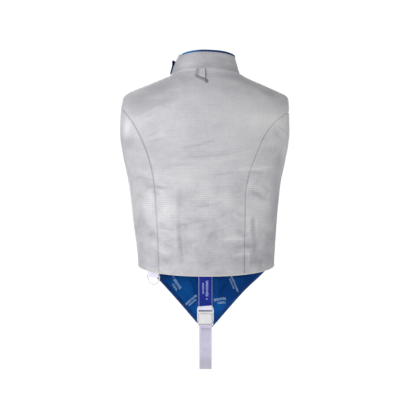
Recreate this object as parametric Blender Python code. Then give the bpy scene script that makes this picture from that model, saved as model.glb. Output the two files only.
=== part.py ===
"""A fencing lame: the sleeveless electric vest of metallic cloth, in its hollow worn form.

Metres, +Z up. The front faces -Y and the wearer's left is +X. The origin lies between the wearer's
shoulders, in the middle of the neck opening at the height of its side points. Sizes below are in
millimetres and become metres where a mesh is made.
"""

import math

import bmesh
import bpy
from mathutils import Matrix, Vector

NAME = "fencing_lame"
MM = 0.001

# Thicknesses of the cloth walls, and the clearance that every two pieces keep.
GAP = 0.3
CLOTH = 1.6
LINING = 1.0
WEBBING = 1.5
BAND = 1.0

# Heights of the vest, measured at the wearer's sides.
SHOULDER_TIP = -48.0
ARMPIT = -230.0
HEM = -438.5
APRON_TIP = -600.0
COLLAR_TOP = 39.5
RIM_TOP = 43.0

# The rolled binding of the back hem.
BINDING = 3.2
BINDING_OUT = 0.4
BACK_HEM = HEM + BINDING + GAP

# The armholes, ovals seen from the side.
ARMHOLE_MIDDLE = (SHOULDER_TIP + ARMPIT) / 2
ARMHOLE_HALF_HEIGHT = (SHOULDER_TIP - ARMPIT) / 2
ARMHOLE_HALF_WIDTH = {"back": 55.0, "front": 58.0}

# The apron's slanting edges run straight from the side seams to its blunt tip.
APRON_CORNER = 156.0
APRON_TIP_HALF_WIDTH = 16.0
EDGE_BAND_WIDTH = 7.0
BAND_END = -588.0

# The zip stands to the wearer's left of the front's middle.
ZIP_X = 55.0
ZIP_SLOT = 6.0
ZIP_TAPE_WIDTH = 18.0
ZIP_TAPE = 0.8
ZIP_CHAIN_WIDTH = 5.0
ZIP_END = -449.0
TAPE_EDGE = ZIP_TAPE_WIDTH / 2 + GAP
SLIDER_LEVEL = -9.0

# The slider, the lugs and pin on it, and the pull that hangs from the pin. The pull's outline runs
# down one side from its eye.
SLIDER_SIZE = (8.4, 12.0, 2.2)
SLIDER_STAND = 1.6
LUG_SIZE = (1.3, 4.0, 4.0)
LUG_X = 2.5
HINGE_UP = 3.0
HINGE_OUT = 4.8
PIN_RADIUS = 0.6
PULL_THICKNESS = 1.3
PULL_EYE_RADIUS = 1.75
PULL_HOLE_RADIUS = 1.0
PULL_EYE_WIDTH = 2.8
PULL_OUTLINE = ((1.4, 0.4), (1.4, -8.0), (3.4, -10.0), (3.4, -23.0), (2.4, -24.5))

# The D-ring, its place in the back hem, and its webbing tab.
RING_X = 121.4
RING_WIRE = 2.5
RING_DEPTH = 21.8
RING_DROP = 10.5
TAB_WIDTH = 32.0
TAB_THICKNESS = 2.8
TAB_TOP = 30.0
TAB_INSET = 2.3
TAB_CLEARANCE = 0.4
TAB_FOLD_WALL = 1.25
RING_CORNER = 3.0
RING_SIDE_CLEARANCE = 1.4

# The crotch strap. Its buckle is measured down from the top of the toothed half.
PRINTED_WIDTH = 30.4
PLAIN_WIDTH = 28.2
BUCKLE_WIDTH = 37.4
BUCKLE_TOP = (77.5, -522.5)
BUCKLE_LEAN = 19.0
BAR_THICKNESS = 2.2
BAR_CLEARANCE = 0.35
MALE_BAR = (1.0, 8.4)
MALE_SLOT = 13.4
FEMALE_SLOT = 43.9
FEMALE_BAR = (47.0, 50.4)
MALE_THICKNESS = 5.6
FEMALE_THICKNESS = 5.0
BUCKLE_CLEARANCE = 0.4
POCKET_OUT = 3.1
POCKET_DEPTH = 4.0
STRAP_SEWN = 18.0
STRAP_SLACK = 0.8
STRAP_TAIL = 11.5
STRAP_FALL = ((99.5, -468.0), (91.5, -492.0))
STRAP_ROUTE = (
    (46.0, -606.0),
    (36.5, -642.0),
    (14.0, -673.5),
    (-14.0, -683.3),
    (-48.0, -668.0),
    (-78.0, -632.0),
)

# The collar's rows, and those of its flap. The flap runs from under the wearer's chin to its free
# end behind their left ear, and stands off the collar from one angle on, least at its foot.
COLLAR_LEVELS = [GAP, 10.0, 20.0, 30.0]
COLLAR_OPENING_HALF = math.radians(0.8)
FLAP_LEVELS = (1.5, 10.0, 20.0, 30.0, 32.5)
FLAP_START = math.radians(168)
FLAP_END = math.radians(82)
FLAP_BINDING = (math.radians(0.3), math.radians(1.9))
FLARE_FROM = math.radians(108)
FLARE_LOW = 1.0
FLARE_HIGH = 10.0
FLARE_LEVEL = 30.0
FLARE_POWER = 1.6
FLAP_CORNER = 0.16

# The nape loop, a ribbon that hangs to the left of the middle of the neck seam. Its profile gives
# shares of its length and distances off the cloth, from the seam round its fold and back.
LOOP_THICKNESS = 1.0
LOOP_TOP = -2.0
LOOP_PLACES = (21.5, 14.0, 7.0, 0.5)
LOOP_LONG = 36.5
LOOP_SHORT = 24.0
LOOP_PROFILE = (
    (0.0, 1.0),
    (0.35, 1.2),
    (0.8, 1.8),
    (0.94, 2.2),
    (1.0, 3.4),
    (0.94, 4.6),
    (0.8, 5.0),
    (0.4, 4.2),
    (0.0, 3.0),
)

# How quickly a ring's height falls from its middle towards the wearer's sides.
RISE_POWER = 1.4

# Small turns, for the directions of surfaces and edges.
STEP = 0.01
LEAST_SLANT = 0.35
HALF_TURN = math.pi / 2


class Table:
    """Rows of named columns, read at any place between them on smooth curves that never overshoot."""

    def __init__(self, names, *rows):
        self.names = names.split()
        self.rows = sorted(rows)
        self.places = [row[0] for row in self.rows]
        self.columns = list(zip(*self.rows))[1:]
        self.slopes = [self.slopes_of(column) for column in self.columns]

    def slopes_of(self, column):
        steps = []
        for here, there, low, high in zip(self.places, self.places[1:], column, column[1:]):
            steps.append((high - low) / (there - here))
        slopes = [steps[0]]
        for before, after in zip(steps, steps[1:]):
            turns = before * after <= 0
            slopes.append(0.0 if turns else 2 * before * after / (before + after))
        return slopes + [steps[-1]]

    def at(self, place):
        """The value of each column at this place."""
        place = min(max(place, self.places[0]), self.places[-1])
        row = next(i for i in range(1, len(self.places)) if place <= self.places[i]) - 1
        width = self.places[row + 1] - self.places[row]
        t = (place - self.places[row]) / width
        values = []
        for column, slopes in zip(self.columns, self.slopes):
            values.append(
                (1 + 2 * t) * (1 - t) ** 2 * column[row]
                + t * (1 - t) ** 2 * width * slopes[row]
                + t * t * (3 - 2 * t) * column[row + 1]
                + t * t * (t - 1) * width * slopes[row + 1]
            )
        return values


# The worn form, a ring for each row. A ring's level is its height at the wearer's sides, its shape is
# a superellipse of this squareness, and its rises lift the middle of its back and of its front.
TORSO = Table(
    "level half_width back front middle_x middle_y squareness back_rise front_rise",
    (0.0, 79.0, 65.0, 65.0, 0.0, -3.0, 2.00, 14.0, -45.0),
    (-13.0, 102.8, 74.0, 72.0, -1.0, -3.0, 1.95, 16.0, -46.0),
    (-26.0, 134.8, 84.0, 81.0, 0.5, -2.0, 1.90, 17.0, -47.0),
    (-40.0, 168.8, 93.0, 90.0, 2.2, -1.0, 1.85, 16.0, -47.0),
    (-48.0, 183.8, 98.0, 96.0, 0.5, 0.0, 1.82, 15.0, -46.0),
    (-60.0, 196.4, 104.0, 102.0, -0.3, 0.0, 1.88, 13.0, -44.0),
    (-82.0, 203.2, 111.0, 110.0, 1.0, 0.0, 2.10, 9.0, -39.0),
    (-110.0, 204.6, 118.0, 118.0, 1.4, 0.0, 2.30, 6.0, -31.0),
    (-137.0, 203.5, 122.0, 124.0, 1.5, 0.0, 2.40, 4.0, -25.0),
    (-164.0, 198.7, 124.0, 129.0, 1.7, 0.0, 2.40, 2.5, -19.0),
    (-192.0, 189.8, 125.0, 132.0, 1.7, 0.0, 2.40, 1.5, -13.0),
    (-230.0, 177.5, 124.0, 132.5, 1.9, 0.0, 2.40, 0.0, -7.0),
    (-261.0, 172.8, 122.0, 132.0, 1.8, 0.0, 2.40, 0.0, -3.0),
    (-316.0, 166.9, 116.0, 129.5, 1.3, 0.0, 2.40, -1.0, 0.0),
    (-371.0, 161.8, 110.5, 126.0, 0.0, 0.0, 2.30, -5.0, 0.0),
    (-438.5, 157.0, 108.0, 122.0, -1.5, 0.0, 2.20, -12.6, 0.0),
    (-480.0, 158.5, 108.0, 118.0, -1.5, 0.0, 2.20, -12.6, 0.0),
    (-530.0, 159.0, 108.0, 109.0, -1.0, 0.0, 2.20, -12.6, 0.0),
    (-600.0, 158.5, 108.0, 97.0, -0.5, 0.0, 2.20, -12.6, 0.0),
)

# The stand collar, in the same terms. It leans in as it rises from the neck seam.
COLLAR = Table(
    "level half_width back front middle_x middle_y squareness back_rise front_rise",
    (0.0, 79.0, 65.0, 65.0, 0.0, -3.0, 2.00, 14.0, -45.0),
    (10.0, 75.9, 61.5, 61.0, 0.4, -3.0, 2.00, 14.0, -44.5),
    (22.0, 72.1, 57.5, 57.0, 0.1, -3.0, 2.00, 13.5, -43.0),
    (32.0, 68.0, 54.0, 54.5, -1.0, -3.3, 2.00, 12.5, -42.0),
    (RIM_TOP, 63.0, 51.5, 52.0, -3.5, -3.5, 2.00, 12.0, -41.0),
)

# How far the curved back seams lie from the middle at each level, from the armholes to the hem.
SEAMS = {
    1: Table(
        "level x",
        (-80.0, 188.5),
        (-114.0, 161.0),
        (-144.0, 144.0),
        (-185.0, 127.0),
        (-239.0, 115.0),
        (-307.0, 109.5),
        (HEM, 105.0),
    ),
    -1: Table(
        "level x",
        (-88.0, 187.0),
        (-112.0, 154.5),
        (-148.0, 128.0),
        (-184.0, 112.5),
        (-222.0, 98.0),
        (-269.0, 90.0),
        (HEM, 88.0),
    ),
}


def ring_point(table, level, angle):
    """The point of a ring at an angle from the middle of the back, turning towards the wearer's left."""
    half, back, front, middle_x, middle_y, square, back_rise, front_rise = table.at(level)
    across, along = math.sin(angle), math.cos(angle)
    depth, rise = (back, back_rise) if along > 0 else (front, front_rise)
    reach = (abs(across / half) ** square + abs(along / depth) ** square) ** (-1 / square)
    share = abs(reach * along / depth)
    x = middle_x + reach * across
    y = middle_y + reach * along
    return Vector((x, y, level + rise * share**RISE_POWER))


def ring_outward(table, level, angle):
    """The outward direction of the surface there."""
    round_it = ring_point(table, level, angle + STEP) - ring_point(table, level, angle - STEP)
    up_it = ring_point(table, level + 0.5, angle) - ring_point(table, level - 0.5, angle)
    return up_it.cross(round_it).normalized()


def angle_at_x(table, level, x, facing):
    """The angle at which a ring reaches this x, on its back or its front."""
    half, back, front, middle_x, _, square, _, _ = table.at(level)
    share = min(abs(x - middle_x) / half, 1.0)
    depth = (1 - share**square) ** (1 / square) * (back if facing == "back" else -front)
    return math.atan2(x - middle_x, depth)


def armhole_angle(level, side, facing):
    """The angle of an armhole's edge, or of the shoulder or side seam beyond its ends."""
    half, back, front, _, _, square, _, _ = TORSO.at(level)
    height = (level - ARMHOLE_MIDDLE) / ARMHOLE_HALF_HEIGHT
    if abs(height) >= 1:
        return side * HALF_TURN
    depth = back if facing == "back" else front
    reach = ARMHOLE_HALF_WIDTH[facing] * math.sqrt(1 - height * height)
    x = half * (1 - (reach / depth) ** square) ** (1 / square)
    return side * math.atan2(x, reach if facing == "back" else -reach)


def apron_half_width(level):
    """How far the apron's slanting edge is from the middle."""
    fall = (HEM - level) / (HEM - APRON_TIP)
    return APRON_CORNER + (APRON_TIP_HALF_WIDTH - APRON_CORNER) * fall


def apron_angle(level, side):
    """The angle of the front's outer edge: shoulder, armhole, side seam, then the apron's slant."""
    if level >= HEM:
        return armhole_angle(level, side, "front") % (2 * math.pi)
    return angle_at_x(TORSO, level, side * apron_half_width(level), "front") % (2 * math.pi)


def seam_angle(level, side):
    """The angle of a curved back seam, or of the shoulder or the armhole's edge above it."""
    edge = armhole_angle(level, side, "back")
    table = SEAMS[side]
    if level >= table.places[-1]:
        return edge
    (x,) = table.at(level)
    return side * min(abs(angle_at_x(TORSO, level, side * x, "back")), abs(edge))


def beside(edge, level, distance):
    """The angle of a line that runs at this distance from an edge, measured square to it."""
    angle = edge(level)
    ring_way = ring_point(TORSO, level, angle + STEP) - ring_point(TORSO, level, angle - STEP)
    above, below = min(level + 1.0, 0.0), level - 1.0
    edge_way = ring_point(TORSO, above, edge(above)) - ring_point(TORSO, below, edge(below))
    slant = ring_way.normalized().cross(edge_way.normalized()).length
    return angle + distance * 2 * STEP / (ring_way.length * max(slant, LEAST_SLANT))


def front_columns(level):
    """The angles of the front's grid lines, from the wearer's left round to the right.

    The outermost strips are as wide as the apron's edge bands. Above the zip's end four lines follow
    the zip's slot and tape, and below it all lines close in with the apron.
    """
    zone = max(level, ZIP_END)
    lines = []
    for x in (ZIP_X + TAPE_EDGE, ZIP_X + ZIP_SLOT / 2, ZIP_X - ZIP_SLOT / 2, ZIP_X - TAPE_EDGE):
        lines.append(angle_at_x(TORSO, zone, x, "front") % (2 * math.pi))

    def band_line(place, side):
        return beside(lambda row: apron_angle(row, side), place, side * EDGE_BAND_WIDTH)

    left, right = band_line(zone, 1), band_line(zone, -1)
    columns = [left + (lines[0] - left) * share for share in spread(LEFT_COLUMNS)[:-1]]
    columns += lines
    columns += [lines[-1] + (right - lines[-1]) * share for share in spread(RIGHT_COLUMNS)[1:]]
    if level < ZIP_END:
        new_left, new_right = band_line(level, 1), band_line(level, -1)
        stretch = (new_right - new_left) / (right - left)
        columns = [new_left + (angle - left) * stretch for angle in columns]
    return [apron_angle(level, 1)] + columns + [apron_angle(level, -1)]


def seamed_front_columns(level):
    """The same lines, their ends drawn back from the shoulder and side seams by half the gap."""
    columns = front_columns(level)
    if level >= SHOULDER_TIP or HEM < level <= ARMPIT:
        columns[0] = beside(lambda _: HALF_TURN, level, GAP / 2)
        columns[-1] = beside(lambda _: 3 * HALF_TURN, level, -GAP / 2)
    return columns


class Sheet:
    """A grid of points on a ringed surface, which walls and the trims that lie on them are made from."""

    def __init__(self, table, levels, columns):
        self.levels = list(levels)
        self.angles = [columns(level) for level in levels]
        self.points, self.outward = [], []
        for level, angles in zip(self.levels, self.angles):
            self.points.append([ring_point(table, level, angle) for angle in angles])
            self.outward.append([ring_outward(table, level, angle) for angle in angles])

    def layer(self, out):
        """The grid moved out of the surface, by one distance or by one for each row and column."""
        distance = out if callable(out) else lambda row, column: out
        moved = []
        for i, (points, outward) in enumerate(zip(self.points, self.outward)):
            pairs = enumerate(zip(points, outward))
            moved.append([point + way * distance(i, j) for j, (point, way) in pairs])
        return moved

    def at(self, level, angle, out=0.0):
        """A point on the facets of the grid, moved out."""
        levels = [-place for place in self.levels]
        row, down = place_in(levels, -level)
        found = []
        for index in (row, row + 1):
            column, across = place_in(self.angles[index], angle)
            pair = []
            for i in (column, column + 1):
                pair.append(self.points[index][i] + self.outward[index][i] * out)
            found.append(pair[0].lerp(pair[1], across))
        return found[0].lerp(found[1], down)


def place_in(places, place):
    """The step of a rising or falling row of numbers that holds this one, and how far along it is."""
    sign = 1 if places[-1] >= places[0] else -1
    index = 0
    while index < len(places) - 2 and sign * places[index + 1] < sign * place:
        index += 1
    width = places[index + 1] - places[index]
    share = (place - places[index]) / width if width else 0.0
    return index, min(max(share, 0.0), 1.0)


def new_object(name, mesh, material, parts):
    obj = bpy.data.objects.new(name, mesh)
    mesh.materials.append(material)
    parts.objects.link(obj)
    return obj


def mesh_of(name, bm):
    bmesh.ops.recalc_face_normals(bm, faces=bm.faces)
    mesh = bpy.data.meshes.new(name)
    bm.to_mesh(mesh)
    bm.free()
    return mesh


def wall(name, outer, inner, finish, parts, holds=lambda row, column: True):
    """A closed wall between two layers of one grid, over the cells that it holds.

    Every cell is split along the same diagonal, so that walls on one grid lie evenly on each other.
    """
    bm = bmesh.new()
    rows, columns = len(outer) - 1, len(outer[0]) - 1
    cells = [(i, j) for i in range(rows) for j in range(columns) if holds(i, j)]
    sides = {}
    for i, j in cells:
        corners = ((i, j), (i, j + 1), (i + 1, j + 1), (i + 1, j))
        for here, there in zip(corners, corners[1:] + corners[:1]):
            sides[(here, there)] = True
    layers = []
    for grid in (outer, inner):
        used = {}
        for here, _ in sides:
            if here not in used:
                used[here] = bm.verts.new(grid[here[0]][here[1]] * MM)
        layers.append(used)
    top, bottom = layers
    for i, j in cells:
        for corners in (((i, j), (i, j + 1), (i + 1, j + 1)), ((i, j), (i + 1, j + 1), (i + 1, j))):
            bm.faces.new([top[corner] for corner in corners])
            bm.faces.new([bottom[corner] for corner in corners[::-1]])
    for here, there in sides:
        if (there, here) not in sides:
            bm.faces.new((top[there], top[here], bottom[here], bottom[there]))
    return new_object(name, mesh_of(name, bm), finish, parts)


def loft(name, sections, material, parts, closed=False):
    """A solid through sections of the same number of points, with flat ends unless it is closed."""
    bm = bmesh.new()
    rings = [[bm.verts.new(point * MM) for point in section] for section in sections]
    count = len(rings[0])
    pairs = list(zip(rings, rings[1:]))
    if closed:
        pairs.append((rings[-1], rings[0]))
    for ring, following in pairs:
        for i in range(count):
            k = (i + 1) % count
            bm.faces.new((ring[i], ring[k], following[k], following[i]))
    if not closed:
        bm.faces.new(rings[0][::-1])
        bm.faces.new(rings[-1])
    return new_object(name, mesh_of(name, bm), material, parts)


def material(name, colour, roughness, metallic=0.0):
    made = bpy.data.materials.new(name)
    made.use_nodes = True
    shader = made.node_tree.nodes["Principled BSDF"]
    shader.inputs["Base Color"].default_value = (*colour, 1.0)
    shader.inputs["Roughness"].default_value = roughness
    shader.inputs["Metallic"].default_value = metallic
    return made


def box(name, middle, size, finish, parts, bevel=0.0):
    """A box, its edges rounded by the bevel."""
    bm = bmesh.new()
    bmesh.ops.create_cube(bm, size=1.0)
    bmesh.ops.scale(bm, vec=Vector(size) * MM, verts=bm.verts)
    bmesh.ops.translate(bm, vec=Vector(middle) * MM, verts=bm.verts)
    if bevel:
        bmesh.ops.bevel(bm, geom=bm.edges, offset=bevel * MM, segments=2, profile=0.5, affect="EDGES")
    return new_object(name, mesh_of(name, bm), finish, parts)


def cylinder(name, middle, radius, length, finish, parts, sides=16):
    """A cylinder along X."""
    bm = bmesh.new()
    bmesh.ops.create_cone(
        bm, cap_ends=True, segments=sides, radius1=radius * MM, radius2=radius * MM, depth=length * MM
    )
    bmesh.ops.rotate(bm, matrix=Matrix.Rotation(math.pi / 2, 3, "Y"), verts=bm.verts)
    bmesh.ops.translate(bm, vec=Vector(middle) * MM, verts=bm.verts)
    return new_object(name, mesh_of(name, bm), finish, parts)


def plate(name, outline, thickness, finish, parts, bevel=0.0):
    """A flat plate of this outline, centred on its own plane."""
    bm = bmesh.new()
    face = bm.faces.new([bm.verts.new((x * MM, y * MM, -thickness / 2 * MM)) for x, y in outline])
    raised = bmesh.ops.extrude_face_region(bm, geom=[face])["geom"]
    lifted = [item for item in raised if isinstance(item, bmesh.types.BMVert)]
    bmesh.ops.translate(bm, vec=(0, 0, thickness * MM), verts=lifted)
    if bevel:
        bmesh.ops.bevel(bm, geom=bm.edges, offset=bevel * MM, segments=2, profile=0.5, affect="EDGES")
    return new_object(name, mesh_of(name, bm), finish, parts)


def join(piece, other, operation="UNION"):
    """Adds a shape to a piece or cuts it out, and keeps only the piece."""
    cut = piece.modifiers.new(other.name, "BOOLEAN")
    cut.operation = operation
    cut.solver = "EXACT"
    cut.object = other
    graph = bpy.context.evaluated_depsgraph_get()
    result = bpy.data.meshes.new_from_object(piece.evaluated_get(graph))
    piece.modifiers.remove(cut)
    piece.data = result
    bpy.data.objects.remove(other, do_unlink=True)


def spread(count):
    """Even shares from 0 to 1."""
    return [i / count for i in range(count + 1)]


# The grids. All panels use the same levels, so that each facet meets its neighbour's.
LEFT_COLUMNS = 3
RIGHT_COLUMNS = 8
CENTRE_COLUMNS = 12
SIDE_COLUMNS = 4
COLLAR_COLUMNS = 26
BINDING_COLUMNS = 22
TOP_LEVELS = [-GAP, -13.0, -26.0, -38.0, SHOULDER_TIP, -62.0, -82.0, -90.0, -100.0, -118.0, -140.0]
TOP_LEVELS += [-168.0, -196.0, -216.0, ARMPIT]
LOW_LEVELS = [-255.0, -290.0, -330.0, -370.0, -410.0]
APRON_LEVELS = [HEM, ZIP_END, ZIP_END - GAP, -470.0, -492.0, -515.0, -540.0, -565.0, BAND_END, APRON_TIP]


def build_back(parts, finish):
    """The centre and side back panels and the rolled binding of their hem."""
    levels = TOP_LEVELS + LOW_LEVELS + [BACK_HEM]

    def seam(side):
        return lambda level: seam_angle(level, side)

    def centre_columns(level):
        left = beside(seam(1), level, -GAP / 2)
        right = beside(seam(-1), level, GAP / 2)
        return [right + (left - right) * share for share in spread(CENTRE_COLUMNS)]

    centre = Sheet(TORSO, levels, centre_columns)
    wall("back_center", centre.layer(0), centre.layer(-CLOTH), finish, parts)
    for name, side in (("back_side_left", 1), ("back_side_right", -1)):
        top = SEAMS[side].places[-1]
        below = [level for level in levels if level < top]

        def side_columns(level):
            inner = beside(seam(side), level, side * GAP / 2)
            outer = armhole_angle(level, side, "back")
            if level <= ARMPIT:
                outer = beside(lambda _: side * HALF_TURN, level, -side * GAP / 2)
            return [inner + (outer - inner) * share for share in spread(SIDE_COLUMNS)]

        sheet = Sheet(TORSO, below, side_columns)
        wall(name, sheet.layer(0), sheet.layer(-CLOTH), finish, parts)
    return centre


def build_binding(parts, finish):
    end = HALF_TURN - GAP / TORSO.at(HEM)[0]

    def columns(_):
        return [end * (2 * share - 1) for share in spread(BINDING_COLUMNS)]

    hem = Sheet(TORSO, [HEM + BINDING, HEM + BINDING / 2, HEM], columns)
    wall("hem_binding", hem.layer(BINDING_OUT), hem.layer(-CLOTH - BINDING_OUT), finish, parts)


def build_fronts(parts, cloth, lining, band):
    """The two front panels, their lining and the bands on the apron's slanting edges."""
    levels = TOP_LEVELS + LOW_LEVELS + APRON_LEVELS
    front = Sheet(TORSO, levels, seamed_front_columns)
    left_tape = LEFT_COLUMNS + 1
    left_edge, right_edge, right_tape = left_tape + 1, left_tape + 2, left_tape + 3
    last_row = levels.index(ZIP_END)
    apron_row = last_row + 1
    behind_cloth = -CLOTH - GAP
    behind_tape = behind_cloth - ZIP_TAPE - GAP

    def lining_out(row, column):
        at_zip = left_tape <= column <= right_tape and row <= apron_row
        return behind_tape if at_zip else behind_cloth

    def lining_in(row, column):
        return lining_out(row, column) - LINING

    def on_left(row, column):
        return row < last_row and column < left_edge

    def on_right(row, column):
        return row >= apron_row or column >= right_edge

    wall("front_left", front.layer(0), front.layer(-CLOTH), cloth, parts, on_left)
    wall("front_right", front.layer(0), front.layer(-CLOTH), cloth, parts, on_right)
    outer, inner = front.layer(lining_out), front.layer(lining_in)
    wall("front_lining_left", outer, inner, lining, parts, lambda i, j: i < last_row and j < left_tape - 1)
    wall("front_lining_right", outer, inner, lining, parts, lambda i, j: i >= apron_row or j >= left_tape)
    outer, inner = front.layer(behind_cloth - LINING - GAP), front.layer(behind_cloth - LINING - GAP - BAND)
    band_rows = range(levels.index(HEM), levels.index(BAND_END))
    last_column = len(front.angles[0]) - 2
    for name, strip in (("edge_band_left", 0), ("edge_band_right", last_column)):
        wall(name, outer, inner, band, parts, lambda i, j: i in band_rows and j == strip)
    return front


def build_collar(parts, cloth, lining, trim):
    """The stand collar, its lining that shows as a rim, and the flap that closes it."""
    opening = angle_at_x(COLLAR, 0.0, ZIP_X, "front") + COLLAR_OPENING_HALF
    round_it = 2 * (math.pi - COLLAR_OPENING_HALF)

    def columns(_):
        return [opening + round_it * share for share in spread(COLLAR_COLUMNS)]

    collar = Sheet(COLLAR, COLLAR_LEVELS + [COLLAR_TOP], columns)
    wall("collar", collar.layer(0), collar.layer(-CLOTH), cloth, parts)
    behind = -CLOTH - GAP
    inside = Sheet(COLLAR, COLLAR_LEVELS + [COLLAR_TOP, RIM_TOP], columns)
    wall("collar_lining", inside.layer(behind), inside.layer(behind - LINING), lining, parts)

    grid = collar.angles[0]
    end = FLAP_END + 2 * math.pi
    under = [FLAP_START] + [angle for angle in reversed(grid) if angle < FLAP_START]
    over = [angle for angle in reversed(grid) if angle > end]

    def flap_layer(angles, out):
        rows = []
        for level in FLAP_LEVELS:
            row = []
            for angle in angles:
                turned = max(0.0, (FLARE_FROM - (angle % (2 * math.pi))) / (FLARE_FROM - FLAP_END))
                reach = FLARE_LOW + (FLARE_HIGH - FLARE_LOW) * (level / FLARE_LEVEL) ** FLARE_POWER
                cut_level = level * (1 - FLAP_CORNER * turned * turned)
                row.append(collar.at(cut_level, angle, GAP + out + turned * turned * reach))
            rows.append(row)
        return rows

    flap = under + over + [end]
    wall("collar_flap", flap_layer(flap, CLOTH), flap_layer(flap, 0.0), cloth, parts)
    edge = [end - turn for turn in FLAP_BINDING]
    wall("flap_binding", flap_layer(edge, CLOTH), flap_layer(edge, 0.0), trim, parts)


def build_nape_loop(parts, finish):
    """A folded ribbon that hangs from the middle of the neck seam, its fold slanting."""
    across = Vector((1, 0, 0))
    layers = [[], []]
    for x in LOOP_PLACES:
        angle = angle_at_x(TORSO, LOOP_TOP, x, "back")
        top = ring_point(TORSO, LOOP_TOP, angle)
        down = (ring_point(TORSO, LOOP_TOP - LOOP_LONG, angle) - top).normalized()
        out = across.cross(down).normalized()
        length = LOOP_LONG + (LOOP_SHORT - LOOP_LONG) * x / LOOP_PLACES[0]
        path = [top + down * along * length + out * off for along, off in LOOP_PROFILE]
        for layer, half in zip(layers, (-LOOP_THICKNESS / 2, LOOP_THICKNESS / 2)):
            row = []
            for i, point in enumerate(path):
                way = path[min(i + 1, len(path) - 1)] - path[max(i - 1, 0)]
                row.append(point + across.cross(way).normalized() * half)
            layer.append(row)
    wall("nape_loop", *layers, finish, parts)


def build_zip(parts, front, tape_finish, metal):
    """The zip's tape and closed chain, its slider, and the pull tab that hinges on the slider."""
    half_tape, half_chain, half_slot = ZIP_TAPE_WIDTH / 2, ZIP_CHAIN_WIDTH / 2, ZIP_SLOT / 2
    behind = -CLOTH - GAP
    below = behind - ZIP_TAPE
    section = [(half_tape, behind), (half_chain, behind), (half_chain, -GAP)]
    section += [(-across, out) for across, out in reversed(section)]
    section += [(-half_tape, below), (-half_slot, below), (half_slot, below), (half_tape, below)]
    levels = [row for row in front.levels if row > ZIP_END + 2] + [ZIP_END + 1]
    sections = []
    for level in levels:
        ring = []
        for across, out in section:
            angle = angle_at_x(TORSO, level, ZIP_X + across, "front") % (2 * math.pi)
            ring.append(front.at(level, angle, out))
        sections.append(ring)
    loft("zip", sections, tape_finish, parts)

    def on_zip(level):
        return front.at(level, angle_at_x(TORSO, level, ZIP_X, "front") % (2 * math.pi))

    seat = on_zip(SLIDER_LEVEL)
    up = (on_zip(SLIDER_LEVEL + 3) - on_zip(SLIDER_LEVEL - 3)).normalized()
    angle = angle_at_x(TORSO, SLIDER_LEVEL, ZIP_X, "front")
    across = up.cross(ring_outward(TORSO, SLIDER_LEVEL, angle)).normalized()
    outward = across.cross(up).normalized()
    frame = Matrix((across, up, outward)).transposed().to_4x4()
    frame.translation = seat * MM
    slider = box("zip_slider", (0, 0, SLIDER_STAND), SLIDER_SIZE, metal, parts, 0.7)
    for side in (-1, 1):
        place = (side * LUG_X, HINGE_UP, LUG_SIZE[2])
        join(slider, box("lug", place, LUG_SIZE, metal, parts, 0.4))
    join(slider, cylinder("pin", (0, HINGE_UP, HINGE_OUT), PIN_RADIUS, 2 * LUG_X + 0.6, metal, parts))
    slider.matrix_world = frame
    outline = [(-x, y) for x, y in PULL_OUTLINE] + list(reversed(PULL_OUTLINE))
    pull = plate("zip_pull", outline[::-1], PULL_THICKNESS, metal, parts)
    join(pull, cylinder("eye", (0, 0, 0), PULL_EYE_RADIUS, PULL_EYE_WIDTH, metal, parts))
    hole = cylinder("hole", (0, 0, 0), PULL_HOLE_RADIUS, 2 * PULL_EYE_WIDTH, metal, parts)
    join(pull, hole, "DIFFERENCE")
    pull.matrix_world = frame @ Matrix.Translation(Vector((0, HINGE_UP, HINGE_OUT)) * MM)


def build_tab_and_ring(parts, webbing, metal):
    """The webbing tab sewn inside the back hem, and the D-ring that swings in its fold."""
    angle = angle_at_x(TORSO, BACK_HEM, RING_X, "back")
    hem = ring_point(TORSO, BACK_HEM, angle)
    outward = ring_outward(TORSO, BACK_HEM, angle)
    outward.z = 0
    outward.normalize()
    across = Vector((outward.y, -outward.x, 0))
    frame = Matrix((across, outward, Vector((0, 0, 1)))).transposed().to_4x4()
    middle = hem - outward * (CLOTH + TAB_INSET + TAB_THICKNESS / 2)
    frame.translation = Vector((middle.x, middle.y, hem.z - RING_DROP)) * MM
    bore = RING_WIRE / 2 + TAB_CLEARANCE
    fold = bore + TAB_FOLD_WALL
    half = TAB_THICKNESS / 2
    start = math.asin(half / fold)
    outline = [(-half, TAB_TOP)]
    for share in spread(12):
        turn = start + (2 * math.pi - 2 * start) * share
        outline.append((-fold * math.sin(turn), fold * math.cos(turn)))
    outline.append((half, TAB_TOP))
    ends = []
    for x in (-TAB_WIDTH / 2, TAB_WIDTH / 2):
        ends.append([Vector((x, y, z)) for y, z in outline])
    tab = loft("ring_tab", ends, webbing, parts)
    join(tab, cylinder("bore", (0, 0, 0), bore, TAB_WIDTH + 4, webbing, parts, 20), "DIFFERENCE")
    tab.matrix_world = frame
    reach = TAB_WIDTH / 2 + RING_SIDE_CLEARANCE + RING_WIRE / 2
    inner = reach - RING_CORNER
    corner = []
    for share in spread(4):
        turn = HALF_TURN * share
        corner.append((inner + RING_CORNER * math.sin(turn), RING_CORNER * (math.cos(turn) - 1)))
    points = list(corner)
    for share in spread(14)[1:-1]:
        turn = math.pi * share
        low = RING_CORNER + (RING_DEPTH - RING_CORNER) * math.sin(turn)
        points.append((reach * math.cos(turn), -low))
    points += [(-x, z) for x, z in reversed(corner)]
    points += [(inner * (2 * share - 1), 0.0) for share in spread(6)[1:-1]]
    curve = bpy.data.curves.new("d_ring", "CURVE")
    curve.dimensions = "3D"
    curve.bevel_depth = RING_WIRE / 2 * MM
    curve.bevel_resolution = 2
    spline = curve.splines.new("POLY")
    spline.points.add(len(points) - 1)
    for point, (x, z) in zip(spline.points, points):
        point.co = (x * MM, 0, z * MM, 1)
    spline.use_cyclic_u = True
    ring = new_object("d_ring", curve, metal, parts)
    ring.matrix_world = frame


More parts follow.
